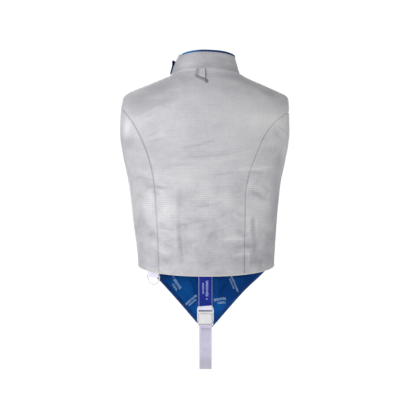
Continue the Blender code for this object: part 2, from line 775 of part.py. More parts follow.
def smooth_path(points, count):
    """A smooth curve through points of a plane, as evenly stepped points."""
    padded = [points[0]] + list(points) + [points[-1]]
    path = []
    for a, b, c, d in zip(padded, padded[1:], padded[2:], padded[3:]):
        p, q, r, s = Vector(a), Vector(b), Vector(c), Vector(d)
        for share in spread(count)[:-1]:
            slope = (r - p) * share
            bend = (2 * p - 5 * q + 4 * r - s) * share**2
            twist = (3 * q - p - 3 * r + s) * share**3
            path.append(tuple((2 * q + slope + bend + twist) / 2))
    return path + [points[-1]]


def ribbon(name, path, width, thickness, finish, parts):
    """Webbing of this width along a path of (y, z) points in the middle plane of the vest."""
    layers = [[], []]
    for i, point in enumerate(path):
        before, after = path[max(i - 1, 0)], path[min(i + 1, len(path) - 1)]
        ways = []
        for one, other in ((before, point), (point, after)):
            way = Vector((other[0] - one[0], other[1] - one[1]))
            if way.length > 0:
                ways.append(way.normalized())
        middle = sum(ways, Vector((0, 0))).normalized()
        reach = thickness / 2 / max(middle.dot(ways[0]), 0.5)
        side = Vector((-middle.y, middle.x)) * reach
        for layer, sign in zip(layers, (1, -1)):
            y, z = point[0] + sign * side.x, point[1] + sign * side.y
            layer.append([Vector((-width / 2, y, z)), Vector((width / 2, y, z))])
    return wall(name, *layers, finish, parts)


def along_buckle(down, out):
    """The (y, z) of a place on the buckle: this far down it and this far out of its middle plane."""
    lean = math.radians(BUCKLE_LEAN)
    y = BUCKLE_TOP[0] - down * math.sin(lean) + out * math.cos(lean)
    z = BUCKLE_TOP[1] - down * math.cos(lean) - out * math.sin(lean)
    return y, z


def wrap(middle, radius, start, end, count):
    """Places (down, out) on an arc round a bar of the buckle, its angle turning from out to down."""
    places = []
    for i in range(count + 1):
        turn = math.radians(start + (end - start) * i / count)
        places.append((middle + radius * math.sin(turn), radius * math.cos(turn)))
    return places


def build_straps(parts, front, printed, plain):
    """The webbing from the back hem to the buckle, and on under the body to the apron's tip."""
    hem = ring_point(TORSO, BACK_HEM, 0.0)
    start_y = hem.y - CLOTH - 2 * GAP - WEBBING / 2 - BINDING_OUT
    radius = BAR_THICKNESS / 2 + BAR_CLEARANCE + WEBBING / 2
    joined = WEBBING / 2 + GAP / 2
    upper = [(start_y, hem.z + 24), (start_y, hem.z + 10), (start_y - 1.2, hem.z - 4)]
    upper += list(STRAP_FALL)
    upper += [along_buckle(down, joined) for down in (-12.0, -4.0)]
    path = smooth_path(upper, 3)
    places = [(0.0, radius)] + wrap(MALE_BAR[1] - BAR_THICKNESS / 4, radius, 0, 180, 8)
    places += [(0.0, -radius), (-4.0, -joined), (-16.0, -joined)]
    path += [along_buckle(*place) for place in places]
    ribbon("strap_printed", path, PRINTED_WIDTH, WEBBING, printed, parts)

    tip = front.at(APRON_TIP, math.pi, 0.0)
    seam = front.at(APRON_TIP + STRAP_SEWN, math.pi, 0.0)
    inset = CLOTH + LINING + 2 * GAP + WEBBING / 2 + STRAP_SLACK
    bar_end, joint, tail = FEMALE_BAR[1] + 1, FEMALE_BAR[1] + 5, FEMALE_BAR[1] + STRAP_TAIL
    places = [(tail, joined), (joint, joined), (bar_end, radius)]
    places += wrap(FEMALE_BAR[0] + BAR_THICKNESS / 4, radius, 360, 180, 8)
    places += [(bar_end, -radius), (joint, -joined)]
    path = [along_buckle(*place) for place in places]
    lower = [along_buckle(tail, -joined)] + list(STRAP_ROUTE)
    lower += [(tip.y + inset, tip.z + 1.0), (seam.y + inset, seam.z)]
    path += smooth_path(lower, 4)
    ribbon("strap_plain", path, PLAIN_WIDTH, WEBBING, plain, parts)


def build_buckle(parts, finish):
    """The fastened side-release buckle: its toothed half above, its housing below.

    Both halves are drawn upright from the top of the toothed half, then leant with the strap.
    """
    lean = math.radians(BUCKLE_LEAN)
    up = Vector((0, math.sin(lean), math.cos(lean)))
    out = Vector((0, math.cos(lean), -math.sin(lean)))
    frame = Matrix((Vector((-1, 0, 0)), up, out)).transposed().to_4x4()
    frame.translation = Vector((0, *BUCKLE_TOP)) * MM
    pieces = []

    def both_sides(outline):
        return outline + [(-x, v) for x, v in reversed(outline)]

    def pocket_and_slot(piece, half, top, slot_top, slot_low, low):
        """Thins the bar between two heights on both faces, and cuts the slot beside it through."""
        for out_of in (-POCKET_OUT, POCKET_OUT):
            middle, size = (0, (top + low) / 2, out_of), (2 * half, top - low, POCKET_DEPTH)
            join(piece, box("pocket", middle, size, finish, parts), "DIFFERENCE")
        middle, size = (0, (slot_top + slot_low) / 2, 0), (2 * half, slot_top - slot_low, 12.0)
        join(piece, box("slot", middle, size, finish, parts), "DIFFERENCE")

    half = BUCKLE_WIDTH / 2
    inner = PRINTED_WIDTH / 2 + BUCKLE_CLEARANCE
    outline = [(inner + 0.5, -1.0), (half - 0.6, -6.0), (half, -9.0), (half, -17.2), (half - 3.4, -17.8)]
    male = plate("buckle_male", both_sides(outline), MALE_THICKNESS, finish, parts, 0.8)
    pocket_and_slot(male, inner, 2.0, -MALE_BAR[1], -MALE_SLOT, -MALE_SLOT)
    for side in (-1, 1):
        outline = [(15.2, -16.5), (half, -16.5), (half - 0.9, -19.2), (half, -22.0), (half, -35.0)]
        outline += [(half - 1.4, -40.0), (15.2, -41.2)]
        arm = plate("arm", [(side * x, v) for x, v in outline], MALE_THICKNESS, finish, parts, 0.6)
        join(male, arm)
    join(male, box("tongue", (0, -22.0, 0), (8.0, 12.0, 3.6), finish, parts, 0.5))
    pieces.append(male)

    outline = [(14.7, -20.8), (14.7, -41.6), (half - 0.4, -42.2), (half - 1.2, -46.0), (half - 2.4, -50.4)]
    female = plate("buckle_female", both_sides(outline), FEMALE_THICKNESS, finish, parts, 0.8)
    join(female, box("housing", (0, -30.65, 0), (29.4, 25.1, 9.4), finish, parts, 1.2))
    join(female, box("cavity", (0, -23.0, 0), (23.0, 16.0, 5.0), finish, parts), "DIFFERENCE")
    mouth = PLAIN_WIDTH / 2 + BUCKLE_CLEARANCE
    pocket_and_slot(female, mouth, -FEMALE_SLOT, -FEMALE_SLOT, -FEMALE_BAR[0], -FEMALE_BAR[1] - 4)
    pieces.append(female)
    for piece in pieces:
        piece.matrix_world = frame


def main():
    for obj in list(bpy.data.objects):
        bpy.data.objects.remove(obj, do_unlink=True)
    parts = bpy.data.collections.new(NAME)
    bpy.context.scene.collection.children.link(parts)
    silver = material("silver_cloth", (0.50, 0.49, 0.53), 0.45, 0.5)
    blue = material("blue_lining", (0.008, 0.084, 0.300), 0.6)
    navy = material("navy_band", (0.002, 0.009, 0.080), 0.6)
    cream = material("cream_binding", (0.72, 0.68, 0.66), 0.7)
    tape = material("zip_tape", (0.40, 0.40, 0.42), 0.7)
    steel = material("steel", (0.75, 0.75, 0.76), 0.25, 1.0)
    white_webbing = material("white_webbing", (0.72, 0.69, 0.86), 0.7)
    printed = material("printed_webbing", (0.014, 0.036, 0.235), 0.6)
    plain = material("plain_webbing", (0.60, 0.57, 0.70), 0.7)
    plastic = material("white_plastic", (0.74, 0.76, 0.76), 0.35)
    build_back(parts, silver)
    build_binding(parts, cream)
    front = build_fronts(parts, silver, blue, navy)
    build_collar(parts, silver, blue, navy)
    build_nape_loop(parts, silver)
    build_zip(parts, front, tape, steel)
    build_tab_and_ring(parts, white_webbing, steel)
    build_straps(parts, front, printed, plain)
    build_buckle(parts, plastic)


if __name__ == "__main__":
    main()
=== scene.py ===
"""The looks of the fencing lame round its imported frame. Sizes are in millimetres until a mesh is made."""

import math

import bmesh
import bpy
import numpy as np
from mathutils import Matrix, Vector, noise


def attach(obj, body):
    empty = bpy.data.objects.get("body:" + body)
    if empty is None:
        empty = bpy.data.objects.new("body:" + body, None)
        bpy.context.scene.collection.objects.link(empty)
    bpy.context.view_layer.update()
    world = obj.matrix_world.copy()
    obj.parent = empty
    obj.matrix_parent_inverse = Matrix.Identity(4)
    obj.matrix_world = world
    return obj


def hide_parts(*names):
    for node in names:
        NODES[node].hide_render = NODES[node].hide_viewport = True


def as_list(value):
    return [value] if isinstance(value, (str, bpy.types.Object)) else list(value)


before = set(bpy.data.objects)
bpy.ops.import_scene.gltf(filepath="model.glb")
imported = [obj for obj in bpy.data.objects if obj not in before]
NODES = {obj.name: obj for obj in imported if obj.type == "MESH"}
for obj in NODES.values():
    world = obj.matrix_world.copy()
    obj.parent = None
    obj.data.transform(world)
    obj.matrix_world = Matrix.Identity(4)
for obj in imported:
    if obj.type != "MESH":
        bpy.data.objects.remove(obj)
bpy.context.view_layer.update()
MM = 0.001

# ---------------------------------------------------------------- sizes, most of them the part's own
# The cloth is thinner here than in the part's solids, and a few edges are set where the photo has them.
GAP = 0.3
CLOTH = 1.2
LINING = 0.8
SOLID_CLOTH = 1.6
SOLID_LINING = 1.0
WEBBING = 1.5
SHOULDER_TIP = -48.0
ARMPIT = -230.0
HEM = -438.5
APRON_TIP = -600.0
COLLAR_TOP = 38.8
RIM_TOP = 43.0
BINDING = 3.2
BACK_LOW = -436.2
ARMHOLE_MIDDLE = (SHOULDER_TIP + ARMPIT) / 2
ARMHOLE_HALF_HEIGHT = (SHOULDER_TIP - ARMPIT) / 2
ARMHOLE_HALF_WIDTH = {"back": 55.0, "front": 58.0}
APRON_CORNER = 156.0
APRON_TIP_HALF_WIDTH = 16.0
APRON_DRAWN_IN = 4.4
EDGE_BAND_WIDTH = 7.0
BAND_END = -588.0
ZIP_X = 55.0
ZIP_SLOT = 6.0
ZIP_TAPE_WIDTH = 18.0
ZIP_END = -449.0
RING_WIRE = 2.5
RING_DROP = 10.5
RING_X = 121.4
BACK_HEM = -435.0
TAB_WIDTH = 33.0
TAB_TOP = 30.0
TAB_INSET = 2.3
TAB_THICKNESS = 2.8
TAB_LAYER = 1.2
TAB_SAG = 2.3
TAB_SHIFT = -0.9
PRINTED_WIDTH = 30.4
PLAIN_WIDTH = 28.2
BUCKLE_TOP = (77.5, -522.5)
BUCKLE_LEAN = math.radians(19.0)
BAR_THICKNESS = 2.2
BAR_CLEARANCE = 0.35
MALE_BAR_LOW = 8.4
FEMALE_BAR = (47.0, 50.4)
STRAP_FALL = ((99.5, -468.0), (91.5, -492.0))
STRAP_ROUTE = (
    (46.0, -606.0), (36.5, -642.0), (14.0, -673.5), (-14.0, -683.3), (-48.0, -668.0), (-78.0, -632.0),
)
STRAP_SEWN = 18.0
STRAP_SLACK = 0.8
STRAP_TAIL = 9.5
FLAP_START = math.radians(168)
FLAP_END = math.radians(82)
FLARE_FROM = math.radians(108)
FLARE_LOW = 1.0
FLARE_HIGH = 10.8
FLARE_LEVEL = 30.0
FLARE_POWER = 4.5
FLAP_CORNER = 0.22
LOOP_TOP = -2.0
LOOP_LONG = 36.5
RISE_POWER = 1.4

# ---------------------------------------------------------------- sizes of the looks alone
UPPER_THICKNESS = 1.0
LABEL_WIDTH = 29.2
LABEL_END = -521.4
LABEL_SLANT = 0.075
CHECK = 0.00478
NECK_LOW = -0.06
NECK_FILL = 0.9
NECK_REACH = 6.5
STITCH_LENGTH = 2.6
STITCH_GAP = 1.1
HEM_TURN = 9.0
HEM_STITCHES_IN = 8.0
SEAM_STITCHES_IN = 0.35
SIDE_PANEL_DOWN = 1.2
SEAM_WIDTH = 1.15
SEAM_CALM = 6.0
PUCKER_REACH = 9.0
LINING_IN = 1.75
ZIP_ROOM = 1.3
# How far out the faces of the edge bands and of the flap are.
BAND_FACES = (-2.75, -3.6)
FLAP_FACES = (1.3, 0.35)
BINDING_PUFF = 1.35
COLLAR_HIGH = 3.8
COLLAR_HIGH_FROM = 26.0
COLLAR_LINE_IN = 4.6
RIM_DIP = 0.9
# The nape loop's lean, and its lengths at its short and its long side, in front and behind.
LOOP_LEAN = 3.0
LOOP_FRONT = (20.0, 31.5)
LOOP_REAR = (28.3, 40.3)
SLIT_LONG = 41.0
SLIT_ASIDE = 3.0
TEETH_START = 14
TOOTH_OFF = 0.95
TOOTH_UP = 0.35
LABEL_START = 3.0
SLOT_LEFT, SLOT_RIGHT = 48, 51
TOOTH_PITCH = 1.3
TOOTH_HALF_SIZES = (1.45, 0.42, 0.55)
# Along a stitch: how far along, how high off the cloth and how thick.
STITCH_SECTIONS = (
    (0.0, -0.45, 0.35), (0.18, 0.05, 0.9), (0.5, 0.15, 1.0), (0.82, 0.05, 0.9), (1.0, -0.45, 0.35),
)
# The collar lining's section: the level and how far out, from inside the collar over the rim.
RIM_PROFILE = (
    (0.4, -2.75), (12.0, -2.75), (26.0, -2.75), (38.0, -2.8), (40.4, -3.1), (41.9, -2.9), (43.1, -2.1),
    (43.4, -1.0), (43.2, 0.1), (42.4, 0.75), (41.2, 0.95), (39.9, 0.85), (39.0, 0.5), (38.6, -0.4),
    (38.5, -1.9), (26.0, -1.9), (12.0, -1.9), (0.4, -1.9),
)
CAMERA_AT = (-0.00575, 3.0, -0.07)
CAMERA_DOWN = 4.5
CAMERA_LENS = 112.9
ROOM_LIGHT = 0.61
ROOM_SLOPE = (0.04, 0.16)


# ---------------------------------------------------------------- numbers and distances
def eased(share):
    """A share held between 0 and 1, which starts and ends smoothly."""
    share = np.clip(share, 0, 1)
    return share * share * (3 - 2 * share)


def bell(distance, width):
    """1 at no distance, falling smoothly to 0 on both sides."""
    return np.exp(-((distance / width) ** 2))


def unit(ways):
    """The same ways, each one long."""
    return ways / np.maximum(np.linalg.norm(ways, axis=-1, keepdims=True), 1e-9)


def running(points, axis=0):
    """Distances along points from the first, down each column of a grid or along each row."""
    steps = np.linalg.norm(np.diff(points, axis=axis), axis=-1)
    return np.concatenate((0 * np.take(steps, [0], axis), np.cumsum(steps, axis=axis)), axis=axis)


def read_at(where, places, values):
    """The rows of values, given at these places, read anywhere between them."""
    return np.stack([np.interp(where, places, values[:, k]) for k in range(values.shape[1])], axis=-1)


def shares(count, fine=0.25):
    """Shares from 0 to 1, closer together at both ends."""
    steps = np.ones(count)
    for i, size in enumerate((fine, fine, fine * 1.6, fine * 2.4)):
        steps[i] = steps[-1 - i] = min(size, 1.0)
    found = np.concatenate(((0.0,), np.cumsum(steps)))
    return found / found[-1]


def crumple(points, size, seed):
    """A seeded unevenness between -1 and 1, in patches of about this size."""
    shift = Vector((seed * 7.3, seed * 3.1, seed * 5.7))
    flat = [noise.noise(Vector(p) / size + shift) for p in points.reshape(-1, 3)]
    return np.array(flat).reshape(points.shape[:-1])


# ---------------------------------------------------------------- the body's form
class Table:
    """Rows of numbers by place, read at any places between them on smooth curves that never overshoot."""

    def __init__(self, *rows):
        rows = np.array(sorted(rows), float)
        self.places, self.values = rows[:, 0], rows[:, 1:]
        steps = np.diff(self.values, axis=0) / np.diff(self.places)[:, None]
        turns = steps[:-1] * steps[1:] <= 0
        total = np.where(turns, 1.0, steps[:-1] + steps[1:])
        middle = np.where(turns, 0.0, 2 * steps[:-1] * steps[1:] / total)
        self.slopes = np.vstack((steps[:1], middle, steps[-1:]))

    def at(self, place):
        """The columns at these places, as one array for each column."""
        place = np.clip(np.asarray(place, float), self.places[0], self.places[-1])
        row = np.clip(np.searchsorted(self.places, place) - 1, 0, len(self.places) - 2)
        width = (self.places[row + 1] - self.places[row])[..., None]
        t = (place - self.places[row])[..., None] / width
        found = (
            (1 + 2 * t) * (1 - t) ** 2 * self.values[row]
            + t * (1 - t) ** 2 * width * self.slopes[row]
            + t * t * (3 - 2 * t) * self.values[row + 1]
            + t * t * (t - 1) * width * self.slopes[row + 1]
        )
        return np.moveaxis(found, -1, 0)


# Rings by level: half_width back front middle_x middle_y squareness back_rise front_rise.
TORSO = Table(
    (0, 79, 65, 65, 0, -3, 2, 14, -45),
    (-4.8, 84.8, 68.2, 67.5, -3, -3, 1.98, 14.8, -45.4),
    (-13, 102.8, 74, 72, -1, -3, 1.95, 16, -46),
    (-26, 134.8, 84, 81, 0.5, -2, 1.9, 17, -47),
    (-40, 168.8, 93, 90, 2.2, -1, 1.85, 16, -47),
    (-48, 183.8, 98, 96, 0.5, 0, 1.82, 15, -46),
    (-60, 196.4, 104, 102, -0.3, 0, 1.88, 13, -44),
    (-82, 203.2, 111, 110, 1, 0, 2.1, 9, -39),
    (-110, 204.6, 118, 118, 1.4, 0, 2.3, 6, -31),
    (-137, 203.5, 122, 124, 1.5, 0, 2.4, 4, -25),
    (-164, 198.7, 124, 129, 1.7, 0, 2.4, 2.5, -19),
    (-192, 189.8, 125, 132, 1.7, 0, 2.4, 1.5, -13),
    (-230, 177.5, 124, 132.5, 1.9, 0, 2.4, 0, -7),
    (-261, 172.8, 122, 132, 1.8, 0, 2.4, 0, -3),
    (-316, 166.9, 116, 129.5, 1.3, 0, 2.4, -1, 0),
    (-371, 161.8, 110.5, 126, 0, 0, 2.3, -5, 0),
    (-438.5, 157, 108, 122, -1.5, 0, 2.2, -12.6, 0),
    (-480, 158.5, 108, 118, -1.5, 0, 2.2, -12.6, 0),
    (-530, 159, 108, 109, -1, 0, 2.2, -12.6, 0),
    (-600, 158.5, 108, 97, -0.5, 0, 2.2, -12.6, 0),
)
COLLAR = Table(
    (0, 79, 65, 65, 0, -3, 2, 14, -45),
    (10, 75.9, 61.5, 61, 0.4, -3, 2, 14, -44.5),
    (22, 72.1, 57.5, 57, 0.1, -3, 2, 13.5, -43),
    (32, 68, 54, 54.5, -1, -3.3, 2, 12.5, -42),
    (RIM_TOP, 63, 51.5, 52, -3.5, -3.5, 2, 12, -41),
)
# The curved back seams by level: how far out each runs, on the wearer's left and right.
SEAMS = {
    1: Table((-80, 188.5), (-114, 161), (-144, 144), (-185, 127), (-239, 115), (-307, 109.5), (HEM, 105)),
    -1: Table((-88, 187), (-112, 154.5), (-148, 128), (-184, 112.5), (-222, 98), (-269, 90), (HEM, 88)),
}


def ring_points(table, levels, angles):
    """Points of the rings at these angles from the middle of the back, turning towards the wearer's left."""
    half, back, front, middle_x, middle_y, square, back_rise, front_rise = table.at(levels)
    across, along = np.sin(angles), np.cos(angles)
    depth = np.where(along > 0, back, front)
    rise = np.where(along > 0, back_rise, front_rise)
    reach = (np.abs(across / half) ** square + np.abs(along / depth) ** square) ** (-1 / square)
    share = np.abs(reach * along / depth)
    x, y = middle_x + reach * across, middle_y + reach * along
    return np.stack((x, y, levels + rise * share**RISE_POWER), axis=-1)


def ring_outward(table, levels, angles):
    """The way straight out of the ringed surface at each point."""
    step = 0.01
    round_it = ring_points(table, levels, angles + step) - ring_points(table, levels, angles - step)
    up_it = ring_points(table, levels + 0.5, angles) - ring_points(table, levels - 0.5, angles)
    return unit(np.cross(up_it, round_it))


def angle_at_x(table, levels, x, facing):
    """The angle at which the rings have this x, on their back or their front."""
    half, back, front, middle_x, _, square, _, _ = table.at(levels)
    share = np.minimum(np.abs(x - middle_x) / half, 1.0)
    depth = (1 - share**square) ** (1 / square) * (back if facing == "back" else -front)
    return np.arctan2(x - middle_x, depth)


def front_angle_at_x(levels, x):
    """The same for the front of the body, between 0 and a whole turn."""
    return angle_at_x(TORSO, levels, x, "front") % (2 * math.pi)


def armhole_angle(levels, side, facing):
    """The angle of the armhole's edge."""
    half, back, front, _, _, square, _, _ = TORSO.at(levels)
    height = np.clip((levels - ARMHOLE_MIDDLE) / ARMHOLE_HALF_HEIGHT, -1, 1)
    depth = back if facing == "back" else front
    reach = ARMHOLE_HALF_WIDTH[facing] * np.sqrt(1 - height * height)
    x = half * (1 - (reach / depth) ** square) ** (1 / square)
    return side * np.arctan2(x, reach if facing == "back" else -reach)


def apron_half_width(levels, side):
    """Half the apron's width: its left edge hangs drawn in a little, and its right one out by as much."""
    width = APRON_CORNER + (APRON_TIP_HALF_WIDTH - APRON_CORNER) * (HEM - levels) / (HEM - APRON_TIP)
    if side > 0:
        return width - APRON_DRAWN_IN * np.clip((HEM - levels) / 50, 0, 1)
    return width + APRON_DRAWN_IN * eased((-444 - levels) / 22) * bell(np.minimum(0, levels + 474), 27)


def apron_angle(levels, side):
    """The angle of the front's edge: the armhole's above the hem and the apron's below it."""
    above = armhole_angle(levels, side, "front") % (2 * math.pi)
    below = front_angle_at_x(levels, side * apron_half_width(np.minimum(levels, HEM), side))
    return np.where(levels >= HEM, above, below)


def seam_angle(levels, side):
    """The angle of the curved back seam, which ends on the armhole's edge."""
    edge = armhole_angle(levels, side, "back")
    table = SEAMS[side]
    (x,) = table.at(levels)
    inner = np.minimum(np.abs(angle_at_x(TORSO, levels, side * x, "back")), np.abs(edge))
    return np.where(levels >= table.places[-1], edge, side * inner)


def row_levels(top, low, step, *fine):
    """Levels from top to low at this step, closer together beside the fine levels."""
    levels = list(np.linspace(top, low, max(2, round((top - low) / step) + 1)))
    for place in fine:
        for offset in (0.0, 0.12, 0.4, 0.9, 1.6, 2.6):
            levels += [place + offset, place - offset]
    kept = []
    for level in sorted({round(level, 3) for level in levels if low <= level <= top}, reverse=True):
        if not kept or kept[-1] - level > 0.1:
            kept.append(level)
    kept[-1] = low
    return np.array(kept)


def panel_levels(low, *more):
    """Levels of a panel from the neck to low, and any further ones below it."""
    shoulder = np.arange(NECK_LOW, -50.0, -1.1)
    levels = np.concatenate((shoulder, row_levels(-50.0, low, 2.3, SHOULDER_TIP, ARMPIT), *more))
    return np.array(sorted(set(np.round(levels, 3)), reverse=True))


# ---------------------------------------------------------------- creases, and patches of painted light and shade
# Creases: x z half_length slope half_width height bend. Each runs half its length each way at a slope that
# rises towards the wearer's right. Heights above 0 are soft ridges, and bend curves the ends up.
CREASES = {
    "back": (
        (124, -84, 34, 27, 3.5, 0.55, 1), (134, -92, 24, 20, 3, -0.45, 0),
        (117, -134, 24, 26, 3.2, -0.75, 1), (107, -147, 24, 13, 3, -0.65, 1),
        (104, -139, 22, 16, 3.5, 0.35, 1), (12, -156, 48, 14, 3.4, -0.95, 3),
        (14, -149, 44, 14, 4.5, 0.35, 3), (-32, -113, 22, 8, 3, -0.55, 0), (-18, -180, 80, 6, 5, -0.75, 5),
        (-40, -170, 52, 9, 3.5, -0.5, 3), (-66, -186, 56, 12, 3.4, 0.6, 3),
        (-80, -176, 44, 13, 3.2, 0.55, 2), (-72, -181, 44, 13, 2.8, -0.55, 2),
        (50, -200, 38, 7, 4, -0.75, -2), (-31, -221, 30, 4, 3.2, -0.85, 0), (-98, -210, 62, 1, 5, 0.8, 2),
        (-66, -218, 36, 3, 2.6, -0.6, 0), (58, -328, 26, 90, 3.6, -0.6, 0), (-118, -219, 24, -4, 4.5, -1, 0),
        (-43, -34, 24, 17, 3, -0.5, 0), (10, -28, 34, 8, 5, 0.4, 0), (110, -252, 24, -4, 3.6, -1.7, -1),
        (131, -258, 14, 35, 4, -0.9, 0), (99, -262, 20, -28, 4.5, 0.7, 0), (140, -232, 26, -8, 3.2, -0.6, 0),
        (150, -206, 20, -14, 3.4, -0.55, 0), (57, -282, 32, 91, 4.8, -0.55, 0),
        (66, -285, 34, 91, 6, 0.45, 0), (55, -375, 42, 95, 4.6, -0.65, 2), (65, -372, 42, 95, 6.5, 0.55, 2),
        (-10, -290, 40, 10, 4.2, -0.95, 4), (-14, -281, 38, 10, 5, 0.5, 4), (-36, -314, 26, 30, 4, -0.5, 0),
        (30, -330, 30, 14, 4, -0.55, 0), (-77, -307, 15, -36, 3.4, -0.9, 0), (-72, -318, 18, -30, 4, 0.5, 0),
        (-117, -268, 30, -34, 6.5, -1.2, 0), (-128, -258, 26, -34, 5, 0.8, 0),
        (-104, -243, 16, 50, 4, 0.6, 0), (-107, -339, 32, 90, 4.4, -1, 0), (-99, -341, 30, 90, 4.2, 0.9, 0),
        (-116, -344, 30, 90, 4.2, 0.7, 0), (-86, -386, 31, 3, 4.6, -1.8, 1), (-78, -367, 30, 6, 4, 1.1, 2),
        (-88, -401, 30, 2, 5, 1.2, 0), (-108, -402, 16, 80, 4, -0.8, 0), (98, -334, 16, -24, 3.8, -0.8, 0),
        (92, -345, 22, -10, 4.2, -0.6, 0), (96, -398, 26, -24, 5, 0.7, 0), (-171, -121, 16, -44, 3, -1.1, 0),
        (-163, -138, 22, -38, 3.6, -0.9, 0), (-176, -132, 16, -42, 3, 0.9, 0),
        (-20, -352, 34, 24, 6, -0.5, 0), (10, -372, 28, 32, 5, 0.45, 0), (150, -150, 22, -20, 4, -0.5, 0),
        (158, -176, 26, -16, 4.5, 0.5, 0),
    ),
    "front": (
        (130, -120, 34, -28, 4, -0.8, 2), (122, -142, 30, -20, 3.5, 0.6, 1),
        (-128, -112, 36, 30, 4, -0.9, 2), (-120, -134, 30, 22, 3.8, 0.7, 1),
        (-96, -98, 26, 38, 3.4, -0.6, 0), (-30, -150, 44, -5, 4, -0.6, 3), (-60, -188, 46, 4, 4.2, -0.8, -2),
        (-48, -180, 42, 4, 4.6, 0.45, -2), (110, -196, 30, 10, 4, -0.7, 0),
        (-20, -226, 54, -6, 4.4, -0.8, 3), (-110, -240, 36, 24, 4.2, -1, 0),
        (-104, -254, 32, 20, 4.6, 0.7, 0), (120, -250, 26, -22, 4.2, -1.1, 0),
        (128, -264, 22, -28, 4.6, 0.8, 0), (-70, -290, 44, 86, 5, -1.1, 2), (-60, -294, 42, 86, 6, 0.7, 2),
        (18, -300, 40, 94, 5, -0.9, -2), (96, -320, 34, 88, 4.6, -1, 0), (-124, -318, 34, 84, 5, 0.9, 0),
        (-20, -352, 48, 10, 4.6, -0.7, 3), (-86, -372, 36, -14, 4.4, -0.9, 0),
        (104, -384, 30, 14, 4.4, -0.9, 0), (10, -398, 40, -6, 5, 0.6, 0), (-40, -430, 60, 3, 5.5, -0.8, 4),
        (60, -470, 40, 34, 5, 0.7, 0), (-66, -480, 42, -38, 5, 0.8, 0), (12, -512, 44, 86, 5, -0.7, 0),
        (-24, -545, 30, 78, 5, 0.6, 0),
    ),
    "lining": (
        (62, -520, 44, -48, 3.6, -1.1, 2), (46, -528, 36, -52, 3, -0.7, 2),
        (84, -478, 40, -38, 4.2, -0.9, 0), (104, -470, 30, -34, 3.6, -0.8, 0),
        (30, -508, 38, -70, 3.6, -0.7, 0), (-36, -520, 40, 64, 3.8, -0.9, 0),
        (-58, -492, 46, 48, 3.8, -1, 2), (-30, -566, 26, 56, 3.2, -0.8, 0),
        (-92, -468, 40, 30, 4.4, -0.8, 0), (22, -470, 30, -84, 4.6, -0.7, 0),
        (34, -572, 20, -58, 3, -0.7, 0), (-8, -490, 40, 88, 4.2, -0.6, 0),
    ),
    "collar": (
        (-44, 24, 26, -16, 3, -0.5, 0), (-30, 34, 30, -8, 3.6, 0.4, 0), (40, 24, 22, 20, 4, 0.35, 0),
        (10, 18, 30, 6, 3.2, -0.35, 0),
    ),
}
# Broad swells and hollows of the cloth: x z half_x half_z height.
SWELLS = {
    "back": (
        (125, -298, 20, 32, 2.6), (83, -305, 20, 32, 2.6), (122, -354, 16, 18, -1.6),
        (134, -330, 12, 14, -0.8), (-112, -304, 20, 22, 1.6), (-14, -362, 26, 20, -1.2),
        (30, -400, 44, 14, 0.8), (-40, -252, 50, 24, 0.8), (-160, -190, 16, 24, -0.8), (0, -90, 60, 30, 0.8),
    ),
    "front": (
        (-80, -300, 26, 34, 2), (110, -300, 22, 36, 2), (-20, -350, 34, 22, -1.2), (-70, -150, 44, 40, 1.2),
        (10, -410, 50, 18, 0.9),
    ),
}
